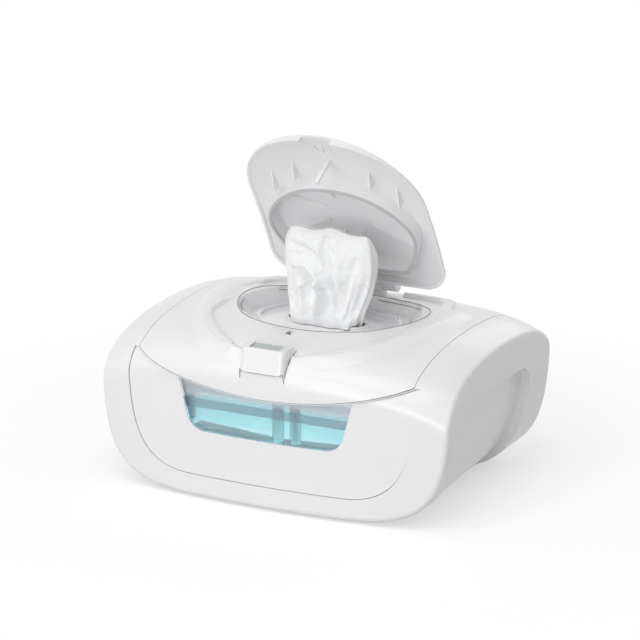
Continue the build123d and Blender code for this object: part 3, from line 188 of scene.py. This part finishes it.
def painted_shade_band(nodes, links, surface, place, height, swirl, level, tone):
    """The surface with a painted shade band over the level, on its upright faces: a darker tone that stands
    for the water's surface.
    """
    normal = nodes.new("ShaderNodeSeparateXYZ")
    links.new(place.outputs["Normal"], normal.inputs[0])
    upright = change(nodes, links, normal.outputs["Z"], 0.3, 0.8, 0.7, 0.0)
    over = change(nodes, links, height, level - 0.0004, level + 0.0004)
    skin = nodes.new("ShaderNodeBsdfPrincipled")
    links.new(ramp(nodes, links, swirl, shade(tone, 0.97), tone), skin.inputs["Base Color"])
    skin.inputs["Roughness"].default_value = 0.15
    share = maths(nodes, links, "MULTIPLY", upright, over)
    return mix(nodes, links, share, surface, skin.outputs["BSDF"])


def clear(name, tint, rough, gloss=1.0, milk=0.0, milk_tone=(0.9, 0.9, 0.9), far=None, fog=None,
          low=None, band=None, glow=0.0, index=1.4):
    """Thin clear plastic or water: light passes straight through its tint, with a Fresnel gloss
    and some milkiness.

    far = (y, milk) makes what lies behind y milkier, fog = (z, milk) what lies over z, and
    low = (z, milk) what lies under z. glow is painted light: the emission strength of its milky
    parts, which shine as if lit from within. band = (z, tone) is painted shade: the darker band
    over z that stands for the water's surface.
    """
    material, nodes, links, shader = new_material(name)
    swirl = noise(nodes, links, SWIRL_SCALE, 3.0).outputs["Fac"]
    place = nodes.new("ShaderNodeTexCoord")
    axes = nodes.new("ShaderNodeSeparateXYZ")
    links.new(place.outputs["Object"], axes.inputs[0])
    through = nodes.new("ShaderNodeBsdfTransparent")
    links.new(ramp(nodes, links, swirl, shade(tint, 0.995), tint), through.inputs["Color"])
    tone = ramp(nodes, links, swirl, shade(milk_tone, 0.97), milk_tone)
    links.new(tone, shader.inputs["Base Color"])
    shader.inputs["Roughness"].default_value = 0.4

    amounts = []
    if far:
        amounts.append(change(nodes, links, axes.outputs["Y"], far[0] - 0.002, far[0], milk, far[1]))
    if fog:
        amounts.append(change(nodes, links, axes.outputs["Z"], fog[0] - 0.0005, fog[0] + 0.004,
                              milk, fog[1]))
    if low:
        amounts.append(change(nodes, links, axes.outputs["Z"], low[0], low[0] + 0.001, low[1], milk))
    while len(amounts) > 1:
        amounts.append(maths(nodes, links, "MAXIMUM", amounts.pop(0), amounts.pop(0)))
    cloudy = mix(nodes, links, amounts[0] if amounts else float(milk), through.outputs["BSDF"],
                 shader.outputs["BSDF"])
    # Painted light: the milky parts shine by emission, though no lamp is inside.
    if glow:
        links.new(tone, shader.inputs["Emission Color"])
        links.new(change(nodes, links, amounts[0], 0.6, 0.9, 0.0, glow), shader.inputs["Emission Strength"])

    shine = nodes.new("ShaderNodeBsdfGlossy")
    shine.inputs["Color"].default_value = (gloss, gloss, gloss, 1)
    links.new(span(nodes, links, swirl, rough * 0.8, rough * 1.2), shine.inputs["Roughness"])
    edge = nodes.new("ShaderNodeFresnel")
    edge.inputs["IOR"].default_value = index
    surface = mix(nodes, links, edge.outputs["Fac"], cloudy, shine.outputs["BSDF"])
    # Painted shade: a darker band over the level on the upright faces, for the look of the water's surface.
    if band:
        surface = painted_shade_band(nodes, links, surface, place, axes.outputs["Z"], swirl, *band)
    links.new(surface, nodes["Material Output"].inputs["Surface"])
    return material


def metal(name, tone, rough):
    material, nodes, links, shader = new_material(name)
    streak = noise(nodes, links, STREAK_SCALE, 4.0).outputs["Fac"]
    links.new(ramp(nodes, links, streak, shade(tone, 0.9), tone), shader.inputs["Base Color"])
    links.new(span(nodes, links, streak, rough * 0.8, rough * 1.3), shader.inputs["Roughness"])
    shader.inputs["Metallic"].default_value = 1.0
    return material


def nonwoven(name):
    """A moist nonwoven wipe: soft white, with fibres in its colour and relief."""
    material, nodes, links, shader = new_material(name)
    fibres = noise(nodes, links, FIBRE_SCALE, 6.0, 0.7)
    links.new(ramp(nodes, links, fibres.outputs["Fac"], (0.86, 0.87, 0.88), (0.95, 0.955, 0.96)),
              shader.inputs["Base Color"])
    shader.inputs["Roughness"].default_value = 0.75
    shader.inputs["Sheen Weight"].default_value = 0.25
    shader.inputs["Subsurface Weight"].default_value = 0.35
    shader.inputs["Subsurface Radius"].default_value = WIPE_SCATTER
    bump(nodes, links, fibres.outputs["Fac"], shader, 0.35, FIBRE_DEPTH)
    return material


TANK_FLOOR = 0.0465         # metres
SHELL_LOW = (0.882, 0.882, 0.892)
SHELL_HIGH = (0.892, 0.892, 0.902)
MATERIALS = {
    "white_shell": moulded("white_shell", SHELL_LOW, SHELL_HIGH, 0.27, relief=0.015, coat=0.15),
    "white_inner": moulded("white_inner", (0.87, 0.87, 0.88), (0.9, 0.9, 0.91), 0.42),
    "clear_plastic": clear("clear_plastic", (0.997, 0.999, 0.999), 0.04, index=1.25),
    "frosted_insert": moulded("frosted_insert", (0.90, 0.905, 0.915), (0.93, 0.935, 0.945), 0.12,
                              coat=0.5),
    "button_grey": moulded("button_grey", (0.50, 0.56, 0.54), (0.54, 0.60, 0.58), 0.34),
    "soft_rubber": moulded("soft_rubber", (0.55, 0.55, 0.56), (0.60, 0.60, 0.61), 0.6, relief=0.1),
    "steel": metal("steel", (0.62, 0.63, 0.65), 0.3),
    "heater_metal": metal("heater_metal", (0.75, 0.76, 0.78), 0.35),
    "foam": moulded("foam", (0.18, 0.18, 0.18), (0.24, 0.24, 0.24), 0.9, grain=500.0, relief=0.5),
    "board": moulded("board", (0.03, 0.20, 0.08), (0.05, 0.26, 0.11), 0.35),
    "black_plastic": moulded("black_plastic", (0.02, 0.02, 0.02), (0.035, 0.035, 0.035), 0.4),
    # glow in blue_water is painted light: its milky far face and floor shine by emission.
    "blue_water": clear("blue_water", (0.90, 0.985, 0.995), 0.02, gloss=0.3, milk=0.35,
                        milk_tone=(0.62, 0.97, 1.0), far=(-0.069, 0.9), glow=0.34,
                        # band: a painted shade band on the water's upright faces over 67.2 mm, for the look
                        # of its surface.
                        low=(TANK_FLOOR, 0.9), band=(0.0672, (0.28, 0.44, 0.53)), index=1.1),
    "cotton": nonwoven("cotton"),
}
# TANK_CLEAR and TUBE_MILK glow with painted light: their milky parts shine by emission.
TANK_CLEAR = clear("tank_clear", (0.995, 0.997, 0.997), 0.05, gloss=0.5, milk=0.02,
                   milk_tone=(0.93, 0.91, 0.95), far=(-0.0675, 0.95), low=(TANK_FLOOR, 0.9),
                   fog=(0.0745, 0.4), glow=0.42, index=1.1)
TUBE_MILK = clear("milky_tube", (0.94, 0.97, 0.97), 0.1, milk=0.5, milk_tone=(0.72, 0.90, 0.88),
                  far=(-0.1, 0.9), glow=0.32)
# Dark grey for the bowl's gaskets, and for the tube that paints the shadow line round the bezel.
GASKET_AND_SHADOW_LINE = moulded("gasket_and_shadow_grey", (0.20, 0.20, 0.21), (0.26, 0.26, 0.27), 0.5, relief=0.1)
OWN_MATERIALS = {"water_tank": TANK_CLEAR, "wick_tube": TUBE_MILK}


def dress_nodes():
    """Every CAD node takes the material of its slot."""
    for row in frame["record"]["subparts"]:
        piece = NODES[row["node"]]
        if not piece.material_slots:
            piece.data.materials.append(None)
        for spot in piece.material_slots:
            spot.link = "OBJECT"
            spot.material = OWN_MATERIALS.get(row["node"], MATERIALS[row["material_slot"]])


# ---- Casing form, in millimetres, as the CAD has it ------------------------------------------------
HALF_WIDTH = 140
ROOF_TOP = 124
ROOF_DROP = 13              # how much lower the roof lies at the sides
BOWL_HALF, BOWL_FRONT, BOWL_REAR = 71, 56, 47
FLIP_HALF, FLIP_REAR = 72, 55
FLIP_NOSE, FLIP_REACH = -31, 63     # where the shut dispensing lid's rounded front starts, and its depth
FLIP_POWER = 2.35


def curve_point(points, t):
    """A place on a cubic curve in the plane."""
    weights = ((1 - t) ** 3, 3 * (1 - t) ** 2 * t, 3 * (1 - t) * t * t, t ** 3)
    return [sum(weight * point[axis] for weight, point in zip(weights, points)) for axis in (0, 1)]


def front_edge(x):
    return -110 + 0.00081 * x * x


def roof(x, y):
    """The height of the casing's roof and its unit normal at a place in plan."""
    share = abs(x) / HALF_WIDTH
    top = ROOF_TOP - ROOF_DROP * share ** 6
    if y < 0:
        front = front_edge(x)
        points = ((front, 92 - 22 * share ** 4), (front, ROOF_TOP - 25 * share ** 2),
                  (-70 + 10 * share ** 2, top), (0, top))
    else:
        rear = 115.3 - 0.00115 * x * x
        points = ((0, top), (50, top), (rear, top - 6), (rear - 4, 84))
    low, high = 0.0, 1.0
    for _ in range(30):
        middle = (low + high) / 2
        if curve_point(points, middle)[0] < y:
            low = middle
        else:
            high = middle
    before, after = curve_point(points, max(low - 0.01, 0)), curve_point(points, min(low + 0.01, 1))
    slope = (after[1] - before[1]) / max(after[0] - before[0], 1e-4)
    side_slope = -ROOF_DROP * 6 * share ** 5 / HALF_WIDTH * (1 if x > 0 else -1)
    return curve_point(points, low)[1], Vector((-side_slope, -slope, 1)).normalized()


def smooth(value, start, end):
    """0 up to the start and 1 from the end on, with an even change between."""
    share = min(max((value - start) / (end - start), 0.0), 1.0)
    return share * share * (3 - 2 * share)


def spline_quarter(points, steps):
    """Points along a smooth line through these, level at its first and last one."""
    padded_points = [(-points[1][0], points[1][1])] + list(points) + [(-points[-2][0], points[-2][1])]
    line = []
    for index in range(1, len(padded_points) - 2):
        p0, p1, p2, p3 = padded_points[index - 1:index + 3]
        for step in range(steps):
            t = step / steps
            line.append(tuple(0.5 * (2 * p1[k] + (p2[k] - p0[k]) * t
                                     + (2 * p0[k] - 5 * p1[k] + 4 * p2[k] - p3[k]) * t * t
                                     + (3 * p1[k] - p0[k] - 3 * p2[k] + p3[k]) * t ** 3) for k in (0, 1)))
    line.append(points[-1])
    return line


def oval_line(grow, front_extra=0.0, steps=14):
    """The bowl's closed outline in plan, grown outwards."""
    half, front, rear = BOWL_HALF + grow, BOWL_FRONT + grow + front_extra, BOWL_REAR + grow
    right = spline_quarter([(0, -front), (0.66 * half, -0.74 * front), (half, -2),
                            (0.86 * half, 0.7 * rear), (0, rear)], steps)
    left = [(-x, y) for x, y in reversed(right[1:-1])]
    return right + left


def flip_clearance(x, y):
    """How far outside the shut dispensing lid's outline a place in plan is, roughly."""
    if y > FLIP_NOSE:
        return max(abs(x) - FLIP_HALF, y - FLIP_REAR)
    across, along = abs(x) / FLIP_HALF, (FLIP_NOSE - y) / FLIP_REACH
    reach = (across ** FLIP_POWER + along ** FLIP_POWER) ** (1 / FLIP_POWER)
    return (reach - 1) * 66


def tube_faces(rings, around, closed=False):
    """The faces of a tube through rings of vertices. A closed one joins its last ring to its first."""
    return [[ring * around + step, ring * around + (step + 1) % around,
             (ring + 1) % rings * around + (step + 1) % around, (ring + 1) % rings * around + step]
            for ring in range(rings if closed else rings - 1) for step in range(around)]


def new_piece(name, vertices, faces, material, body):
    """A smooth piece from vertices in millimetres, which rides on the body."""
    mesh = bpy.data.meshes.new(name)
    mesh.from_pydata([Vector(vertex) / 1000 for vertex in vertices], [], faces)
    mesh.polygons.foreach_set("use_smooth", [True] * len(mesh.polygons))
    piece = bpy.data.objects.new(name, mesh)
    bpy.context.collection.objects.link(piece)
    mesh.materials.append(material)
    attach(piece, body)
    return piece


# ---- Lid: the soft ridge round the nest and the swell round the bezel -----------------------------------
RIDGE_HEIGHT = 3.25
SWELL_HEIGHT = 1.6
RIDGE_START, RIDGE_REACH, RIDGE_ROWS = 1.0, 33.0, 45
# The next radius is that of the tube that paints the shadow line round the bezel.
SHADOW_LINE_RADIUS = 0.28
TUBE_SIDES = 8


def ridge_height(grow, x, y):
    """How high the ridge or the swell stands on the roof at a place, that far outside the bowl."""
    ridge = RIDGE_HEIGHT * smooth(grow, 1.0, 13.0) * (1 - smooth(grow, 19.5, 33.0))
    ridge *= smooth(flip_clearance(x, y), 0.6, 4.0) * (1 - smooth(y, 26, 44))
    ridge *= smooth(abs(x), 16, 34) if y < 0 else 1
    ridge *= smooth(y - front_edge(x), 2.0, 16.0)
    beside = max(abs(x) - 17.5, 0.0)
    behind = max(-111 - y, y + 96, 0.0)
    swell = SWELL_HEIGHT * math.exp(-(beside ** 2 + behind ** 2) / 9.0 ** 2)
    swell *= smooth(flip_clearance(x, y), 0.6, 4.0)
    swell *= smooth(y - front_edge(x), 3.0, 15.0)
    return max(ridge, swell)


def add_lid_ridge():
    rows = [RIDGE_START + RIDGE_REACH * index / (RIDGE_ROWS - 1) for index in range(RIDGE_ROWS)]
    lines = [oval_line(grow, 29.0, 40) for grow in rows]
    count = len(lines[0])
    vertices, heights = [], []
    for grow, line in zip(rows, lines):
        for x, y in line:
            y = max(y, front_edge(x) + 0.4)
            height = ridge_height(grow, x, y)
            z, normal = roof(x, y)
            place = Vector((x, y, z)) + normal * (height - 0.45 * (1 - smooth(height, 0.0, 0.6)))
            vertices.append(place)
            heights.append(height)
    faces = []
    for face in tube_faces(len(rows), count):
        middle = sum((vertices[index] for index in face), Vector()) / 4
        in_bezel = abs(middle.x) < 18.1 and middle.y < -86
        if max(heights[index] for index in face) > 0.02 and not in_bezel:
            faces.append(face)
    return new_piece("lid_ridge", vertices, faces, MATERIALS["white_shell"], "main_lid")


def add_ring(name, grow, drop, radius, material):
    """A thin gasket line along the bowl's edge, or along its slope below the edge."""
    line = oval_line(grow, 0.0, 24)
    vertices = []
    for index, (x, y) in enumerate(line):
        ahead, behind = line[(index + 1) % len(line)], line[index - 1]
        along = Vector((ahead[0] - behind[0], ahead[1] - behind[1], 0)).normalized()
        out = along.cross(Vector((0, 0, 1)))
        z = roof(x, y)[0] - drop
        for side in range(TUBE_SIDES):
            angle = 2 * math.pi * side / TUBE_SIDES
            vertices.append(Vector((x, y, z)) + out * (radius * math.cos(angle))
                            + Vector((0, 0, radius * math.sin(angle))))
    faces = tube_faces(len(line), TUBE_SIDES, closed=True)
    return new_piece(name, vertices, faces, material, "main_lid")


def add_bezel_shadow_line():
    """A dark tube that paints the shadow in the gap where the bezel stands in the lid."""
    side = [(17.75, -89.0 - 1.5 * index) for index in range(14)]
    right = [Vector((x, y, roof(x, y)[0] + 0.1)) for x, y in side if y > -107.6]
    turn = [Vector((17.6, -109.0, roof(17.6, -109.0)[0])), Vector((17.0, -110.3, 105.7)),
            Vector((15.2, -111.1, 104.6))]
    front = [Vector((x, -111.3 + 0.0006 * x * x, 104.25)) for x in (12, 6, 0)]
    half = right + turn + front
    line = half + [Vector((-point.x, point.y, point.z)) for point in reversed(half[:-1])]
    vertices = []
    out = Vector((1, 0, 0))
    for index, point in enumerate(line):
        along = (line[min(index + 1, len(line) - 1)] - line[max(index - 1, 0)]).normalized()
        out = (out - along * out.dot(along)).normalized()
        up = out.cross(along)
        for side in range(TUBE_SIDES):
            angle = 2 * math.pi * side / TUBE_SIDES
            vertices.append(point + (out * math.cos(angle) + up * math.sin(angle)) * SHADOW_LINE_RADIUS)
    faces = tube_faces(len(line), TUBE_SIDES)
    last = len(vertices) - TUBE_SIDES
    faces += [list(range(TUBE_SIDES))[::-1], [last + side for side in range(TUBE_SIDES)]]
    return new_piece("bezel_shadow_line", vertices, faces, GASKET_AND_SHADOW_LINE, "main_lid")


# ---- Wipes ----------------------------------------------------------------------------------------------
# Share of its height, half width and half depth.
WIPE_PROFILE = ((0.0, 27.0, 6.0), (0.05, 27.5, 8.0), (0.15, 29.5, 10.0), (0.35, 33.5, 12.5),
                (0.6, 36.5, 14.5), (0.78, 36.5, 13.5), (0.9, 35.0, 10.0), (0.96, 33.0, 6.0),
                (1.0, 30.5, 1.4))
WIPE_FOOT, WIPE_TOP = 112.5, 184.5
SLOT_Y = -4
SHEETS = 26
WICK_RADIUS = 1.75
WICK_TURN = 270             # degrees
# Folds of its front, as lines and hollows over X and height: points, reach in mm, depth in mm.
WIPE_LINES = (
    (((2.5, 184), (3.0, 172), (5.0, 160), (9.5, 148), (12.5, 138), (11.0, 127), (7.0, 117), (4.0, 112)),
     2.3, 8.5),
    (((-2.5, 146), (-0.5, 138), (-2.5, 130), (-4.0, 122), (-2.0, 113)), 2.4, -7.0),
    (((-17, 142), (-17.5, 130), (-13, 117)), 2.6, -4.5),
    (((-23, 135), (-16, 114)), 2.0, 3.4),
    (((-9, 124), (-7, 112)), 2.0, 4.0),
    (((33, 146), (25, 126), (21, 112)), 1.9, 6.5),
    (((38, 140), (31, 122), (28, 112)), 1.8, 5.0),
    (((28, 166), (23, 148), (17, 126)), 2.6, 2.6),
    (((-25, 172), (-14, 171), (-3, 164), (3, 154)), 2.4, 3.6),
    (((-22, 158), (-12, 160), (-3, 153), (1, 144)), 2.4, -3.4),
    (((5, 176), (12, 168)), 1.6, 1.6),
    (((-31, 160), (-30, 140), (-25, 120)), 2.6, 2.2),
)
WIPE_HOLLOWS = (((-12, 165), (11.0, 5.5), 5.5), ((-9, 140), (7.0, 10.0), 10.5),
                ((6.0, 128), (4.5, 12.0), 6.0))


def profile_at(share):
    """The wipe's half width and half depth at a share of its height."""
    for (t0, a0, b0), (t1, a1, b1) in zip(WIPE_PROFILE, WIPE_PROFILE[1:]):
        if share <= t1:
            k = (share - t0) / (t1 - t0)
            return a0 + (a1 - a0) * k, b0 + (b1 - b0) * k
    return WIPE_PROFILE[-1][1:]


def line_distance(x, z, points):
    """How far a place is from the line through the points."""
    nearest = 1e9
    for (x0, z0), (x1, z1) in zip(points, points[1:]):
        dx, dz = x1 - x0, z1 - z0
        t = min(max(((x - x0) * dx + (z - z0) * dz) / (dx * dx + dz * dz), 0), 1)
        nearest = min(nearest, math.hypot(x - x0 - t * dx, z - z0 - t * dz))
    return nearest


def wipe_relief(x, z):
    """How far the wipe's front goes in at a place."""
    depth = sum(amount * math.exp(-(line_distance(x, z, points) / reach) ** 2)
                for points, reach, amount in WIPE_LINES)
    for (cx, cz), (rx, rz), amount in WIPE_HOLLOWS:
        depth += amount * math.exp(-((x - cx) / rx) ** 2 - ((z - cz) / rz) ** 2)
    return depth


def add_pulled_wipe():
    """The wipe that stands in the slot: one gathered sheet, pleated at its foot."""
    around, levels = 260, 120
    vertices = []
    for level in range(levels + 1):
        share = level / levels
        half, depth = profile_at(share)
        shift = 3.5 * smooth(share, 0.1, 0.5) - 1.5 * smooth(share, 0.7, 1.0)
        for step in range(around):
            angle = 2 * math.pi * step / around
            cosine, sine = math.cos(angle), math.sin(angle)
            front = max(-sine, 0.0)
            gather = (1 - share) ** 1.6
            pleat = 0.10 * gather * math.cos(19 * angle + 0.6)
            pleat += 0.05 * math.cos(5 * angle + 2.2 * share + 1.0)
            pleat += 0.06 * (1 - front) * math.cos(11 * angle - 3.0 * share)
            x = shift + half * (1 + 0.35 * pleat) * math.copysign(abs(cosine) ** 0.8, cosine)
            y = depth * (1 + 1.6 * pleat) * math.copysign(abs(sine) ** 0.85, sine)
            over_lip = smooth(front, 0.25, 0.6) * (1 - smooth(share, 0.04, 0.16))
            in_front = smooth(front, 0.45, 0.75)
            foot = WIPE_FOOT + 3.0 * smooth(front, 0.0, 0.3) * (1 - in_front) + 0.5 * in_front
            z = foot + (WIPE_TOP - foot) * share
            z += (1.1 * math.sin(0.21 * x + 0.5) - 0.0028 * x * x) * smooth(share, 0.7, 1.0)
            y = y * (1 - over_lip) + (-10.9 - 0.9 * math.cos(9 * angle)) * over_lip
            room = smooth(share, 0.05, 0.2) * (1 - smooth(share, 0.9, 0.99))
            taken = max(room, 0.35 * smooth(share, 0.0, 0.05))
            y += front ** 0.6 * wipe_relief(x, z) * taken * (1 - 0.6 * over_lip)
            place = Vector((x, SLOT_Y + y, z))
            wrinkle = noise_field.noise(place * 0.11) * 1.1 + noise_field.noise(place * 0.32) * 0.35
            place += Vector((cosine * 0.4, sine, 0)) * wrinkle * room
            vertices.append(place)
    faces = tube_faces(levels + 1, around)
    last = levels * around
    for step in range(1, around // 2):
        faces.append([last + step, last + step - 1, last + around - step,
                      last + (around - step - 1) % around])
    wipe = new_piece("pulled_wipe_cloth", vertices, [face for face in faces if len(set(face)) == 4],
                     MATERIALS["cotton"], "main_lid")
    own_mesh(wipe)
    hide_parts("pulled_wipe")


def add_wipe_stack():
    """The stack in the tub: folded sheets that lie on each other, with soft uneven edges."""
    low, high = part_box("wipe_stack")
    low, high = low * 1000, high * 1000
    around = 132
    rings = ((0.06, 0.9), (0.3, 0.0), (0.7, 0.0), (0.94, 0.9))      # level in the sheet, and how far in
    vertices = []
    rise = (high.z - low.z) / SHEETS
    middle_x, middle_y = (low.x + high.x) / 2, (low.y + high.y) / 2
    for layer in range(SHEETS):
        inset = 0.8 + 0.5 * noise_field.noise(Vector((layer * 1.7, 0, 0)))
        inset += 2.5 * max(0, layer - SHEETS + 4) / 4
        for level, pull in rings:
            half_x, half_y = (high.x - low.x) / 2 - inset - pull, (high.y - low.y) / 2 - inset - pull
            for step in range(around):
                angle = 2 * math.pi * step / around
                cosine, sine = math.cos(angle), math.sin(angle)
                x = middle_x + half_x * math.copysign(abs(cosine) ** 0.16, cosine)
                y = middle_y + half_y * math.copysign(abs(sine) ** 0.16, sine)
                wave = 0.25 * noise_field.noise(Vector((x * 0.04, y * 0.04, layer * 0.4)))
                vertices.append(Vector((x, y, low.z + 0.2 + rise * (layer + level) * 0.985 + wave)))
    faces = tube_faces(SHEETS * len(rings), around)
    top = len(vertices) - around
    faces.append([top + step for step in range(around)])
    faces.append([step for step in reversed(range(around))])
    stack = new_piece("wipe_stack_sheets", vertices, faces, MATERIALS["cotton"], "base")
    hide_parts("wipe_stack")


def add_wick():
    """The twisted wick beside the tube: two strands turned round each other."""
    low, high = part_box("water_wick")
    low, high = low * 1000, high * 1000
    middle_x, middle_y = (low.x + high.x) / 2, (low.y + high.y) / 2
    levels, around = 70, 28
    vertices = []
    for level in range(levels + 1):
        share = level / levels
        turn = math.radians(WICK_TURN * share)
        for step in range(around):
            angle = 2 * math.pi * step / around
            radius = WICK_RADIUS * (1 + 0.32 * math.cos(2 * (angle - turn)) + 0.04 * math.cos(9 * angle))
            vertices.append(Vector((middle_x + radius * math.cos(angle),
                                    middle_y + radius * math.sin(angle),
                                    low.z + (high.z - low.z) * share)))
    faces = tube_faces(levels + 1, around)
    faces.append([levels * around + step for step in range(around)])
    faces.append([step for step in reversed(range(around))])
    wick = new_piece("water_wick_strands", vertices, faces, MATERIALS["cotton"], "base")
    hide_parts("water_wick")


# ---- Stage --------------------------------------------------------------------------------------
WORLD_STRENGTH = 0.45
FLOOR_SIZE = 8
FLOOR_TONE = 0.58
FLOOR_FADE = (0.2, 0.42)    # metres from the middle over which the floor fades into the white
FLOOR_LIFT = 0.52           # white added to it where it is seen, mirrored or seen through
# Name, place and size in metres, and power in watts.
LAMPS = (
    ("key", (-0.7, -1.9, 1.0), (1.4, 1.2), 8),
    ("front", (0.2, -2.0, 0.25), (1.6, 0.6), 11),
    ("top", (-0.05, -0.6, 1.7), (1.4, 1.2), 8),
    ("back", (0.4, 1.6, 0.9), (1.6, 0.8), 4),
)
LAMP_TARGET = (0, 0, 0.1)


def background_ray(nodes, links):
    """1 for a ray from the camera, or by way of a reflection or a transmission: it shows the white."""
    path = nodes.new("ShaderNodeLightPath")
    result = path.outputs["Is Camera Ray"]
    for kind in ("Is Glossy Ray", "Is Transmission Ray"):
        result = maths(nodes, links, "MAXIMUM", result, path.outputs[kind])
    return result


def add_stage():
    bpy.ops.mesh.primitive_plane_add(size=FLOOR_SIZE, location=(0, 0, 0))
    floor = bpy.context.object
    floor.name = "floor"
    material, nodes, links, shader = new_material("floor")
    shader.inputs["Base Color"].default_value = (FLOOR_TONE, FLOOR_TONE, FLOOR_TONE, 1)
    shader.inputs["Roughness"].default_value = 0.7
    shader.inputs["Specular IOR Level"].default_value = 0.0
    place = nodes.new("ShaderNodeTexCoord")
    reach = nodes.new("ShaderNodeVectorMath")
    reach.operation = "LENGTH"
    links.new(place.outputs["Object"], reach.inputs[0])
    fade = nodes.new("ShaderNodeMapRange")
    fade.interpolation_type = "SMOOTHSTEP"
    fade.inputs["From Min"].default_value = FLOOR_FADE[0]
    fade.inputs["From Max"].default_value = FLOOR_FADE[1]
    links.new(reach.outputs["Value"], fade.inputs["Value"])
    glow = nodes.new("ShaderNodeEmission")
    shown = background_ray(nodes, links)
    seen = maths(nodes, links, "MULTIPLY", shown, fade.outputs["Result"])
    shader.inputs["Emission Color"].default_value = (1, 1, 1, 1)
    links.new(span(nodes, links, shown, 0.0, FLOOR_LIFT), shader.inputs["Emission Strength"])
    surface = mix(nodes, links, seen, shader.outputs["BSDF"], glow.outputs["Emission"])
    links.new(surface, nodes["Material Output"].inputs["Surface"])
    floor.data.materials.append(material)
    world = bpy.data.worlds.new("world")
    bpy.context.scene.world = world
    world.use_nodes = True
    tree = world.node_tree
    background = tree.nodes["Background"]
    background.inputs["Color"].default_value = (1, 1, 1, 1)
    shown = background_ray(tree.nodes, tree.links)
    tree.links.new(span(tree.nodes, tree.links, shown, WORLD_STRENGTH, 1.0), background.inputs["Strength"])


def add_lamps():
    for name, place, size, power in LAMPS:
        data = bpy.data.lights.new(name, "AREA")
        data.shape = "RECTANGLE"
        data.size, data.size_y = size
        data.energy = power
        lamp = bpy.data.objects.new(name, data)
        lamp.location = place
        lamp.rotation_euler = (Vector(place) - Vector(LAMP_TARGET)).to_track_quat("Z", "Y").to_euler()
        bpy.context.collection.objects.link(lamp)


add_camera()
dress_nodes()
add_lid_ridge()
add_ring("bowl_gasket", 1.6, -0.05, 0.32, GASKET_AND_SHADOW_LINE)
add_ring("bowl_line", -1.4, 2.4, 0.3, GASKET_AND_SHADOW_LINE)
# A dark tube painted as the shadow round the bezel.
add_bezel_shadow_line()
add_pulled_wipe()
add_wipe_stack()
add_wick()
add_stage()
add_lamps()
bpy.context.scene.view_settings.view_transform = "Standard"
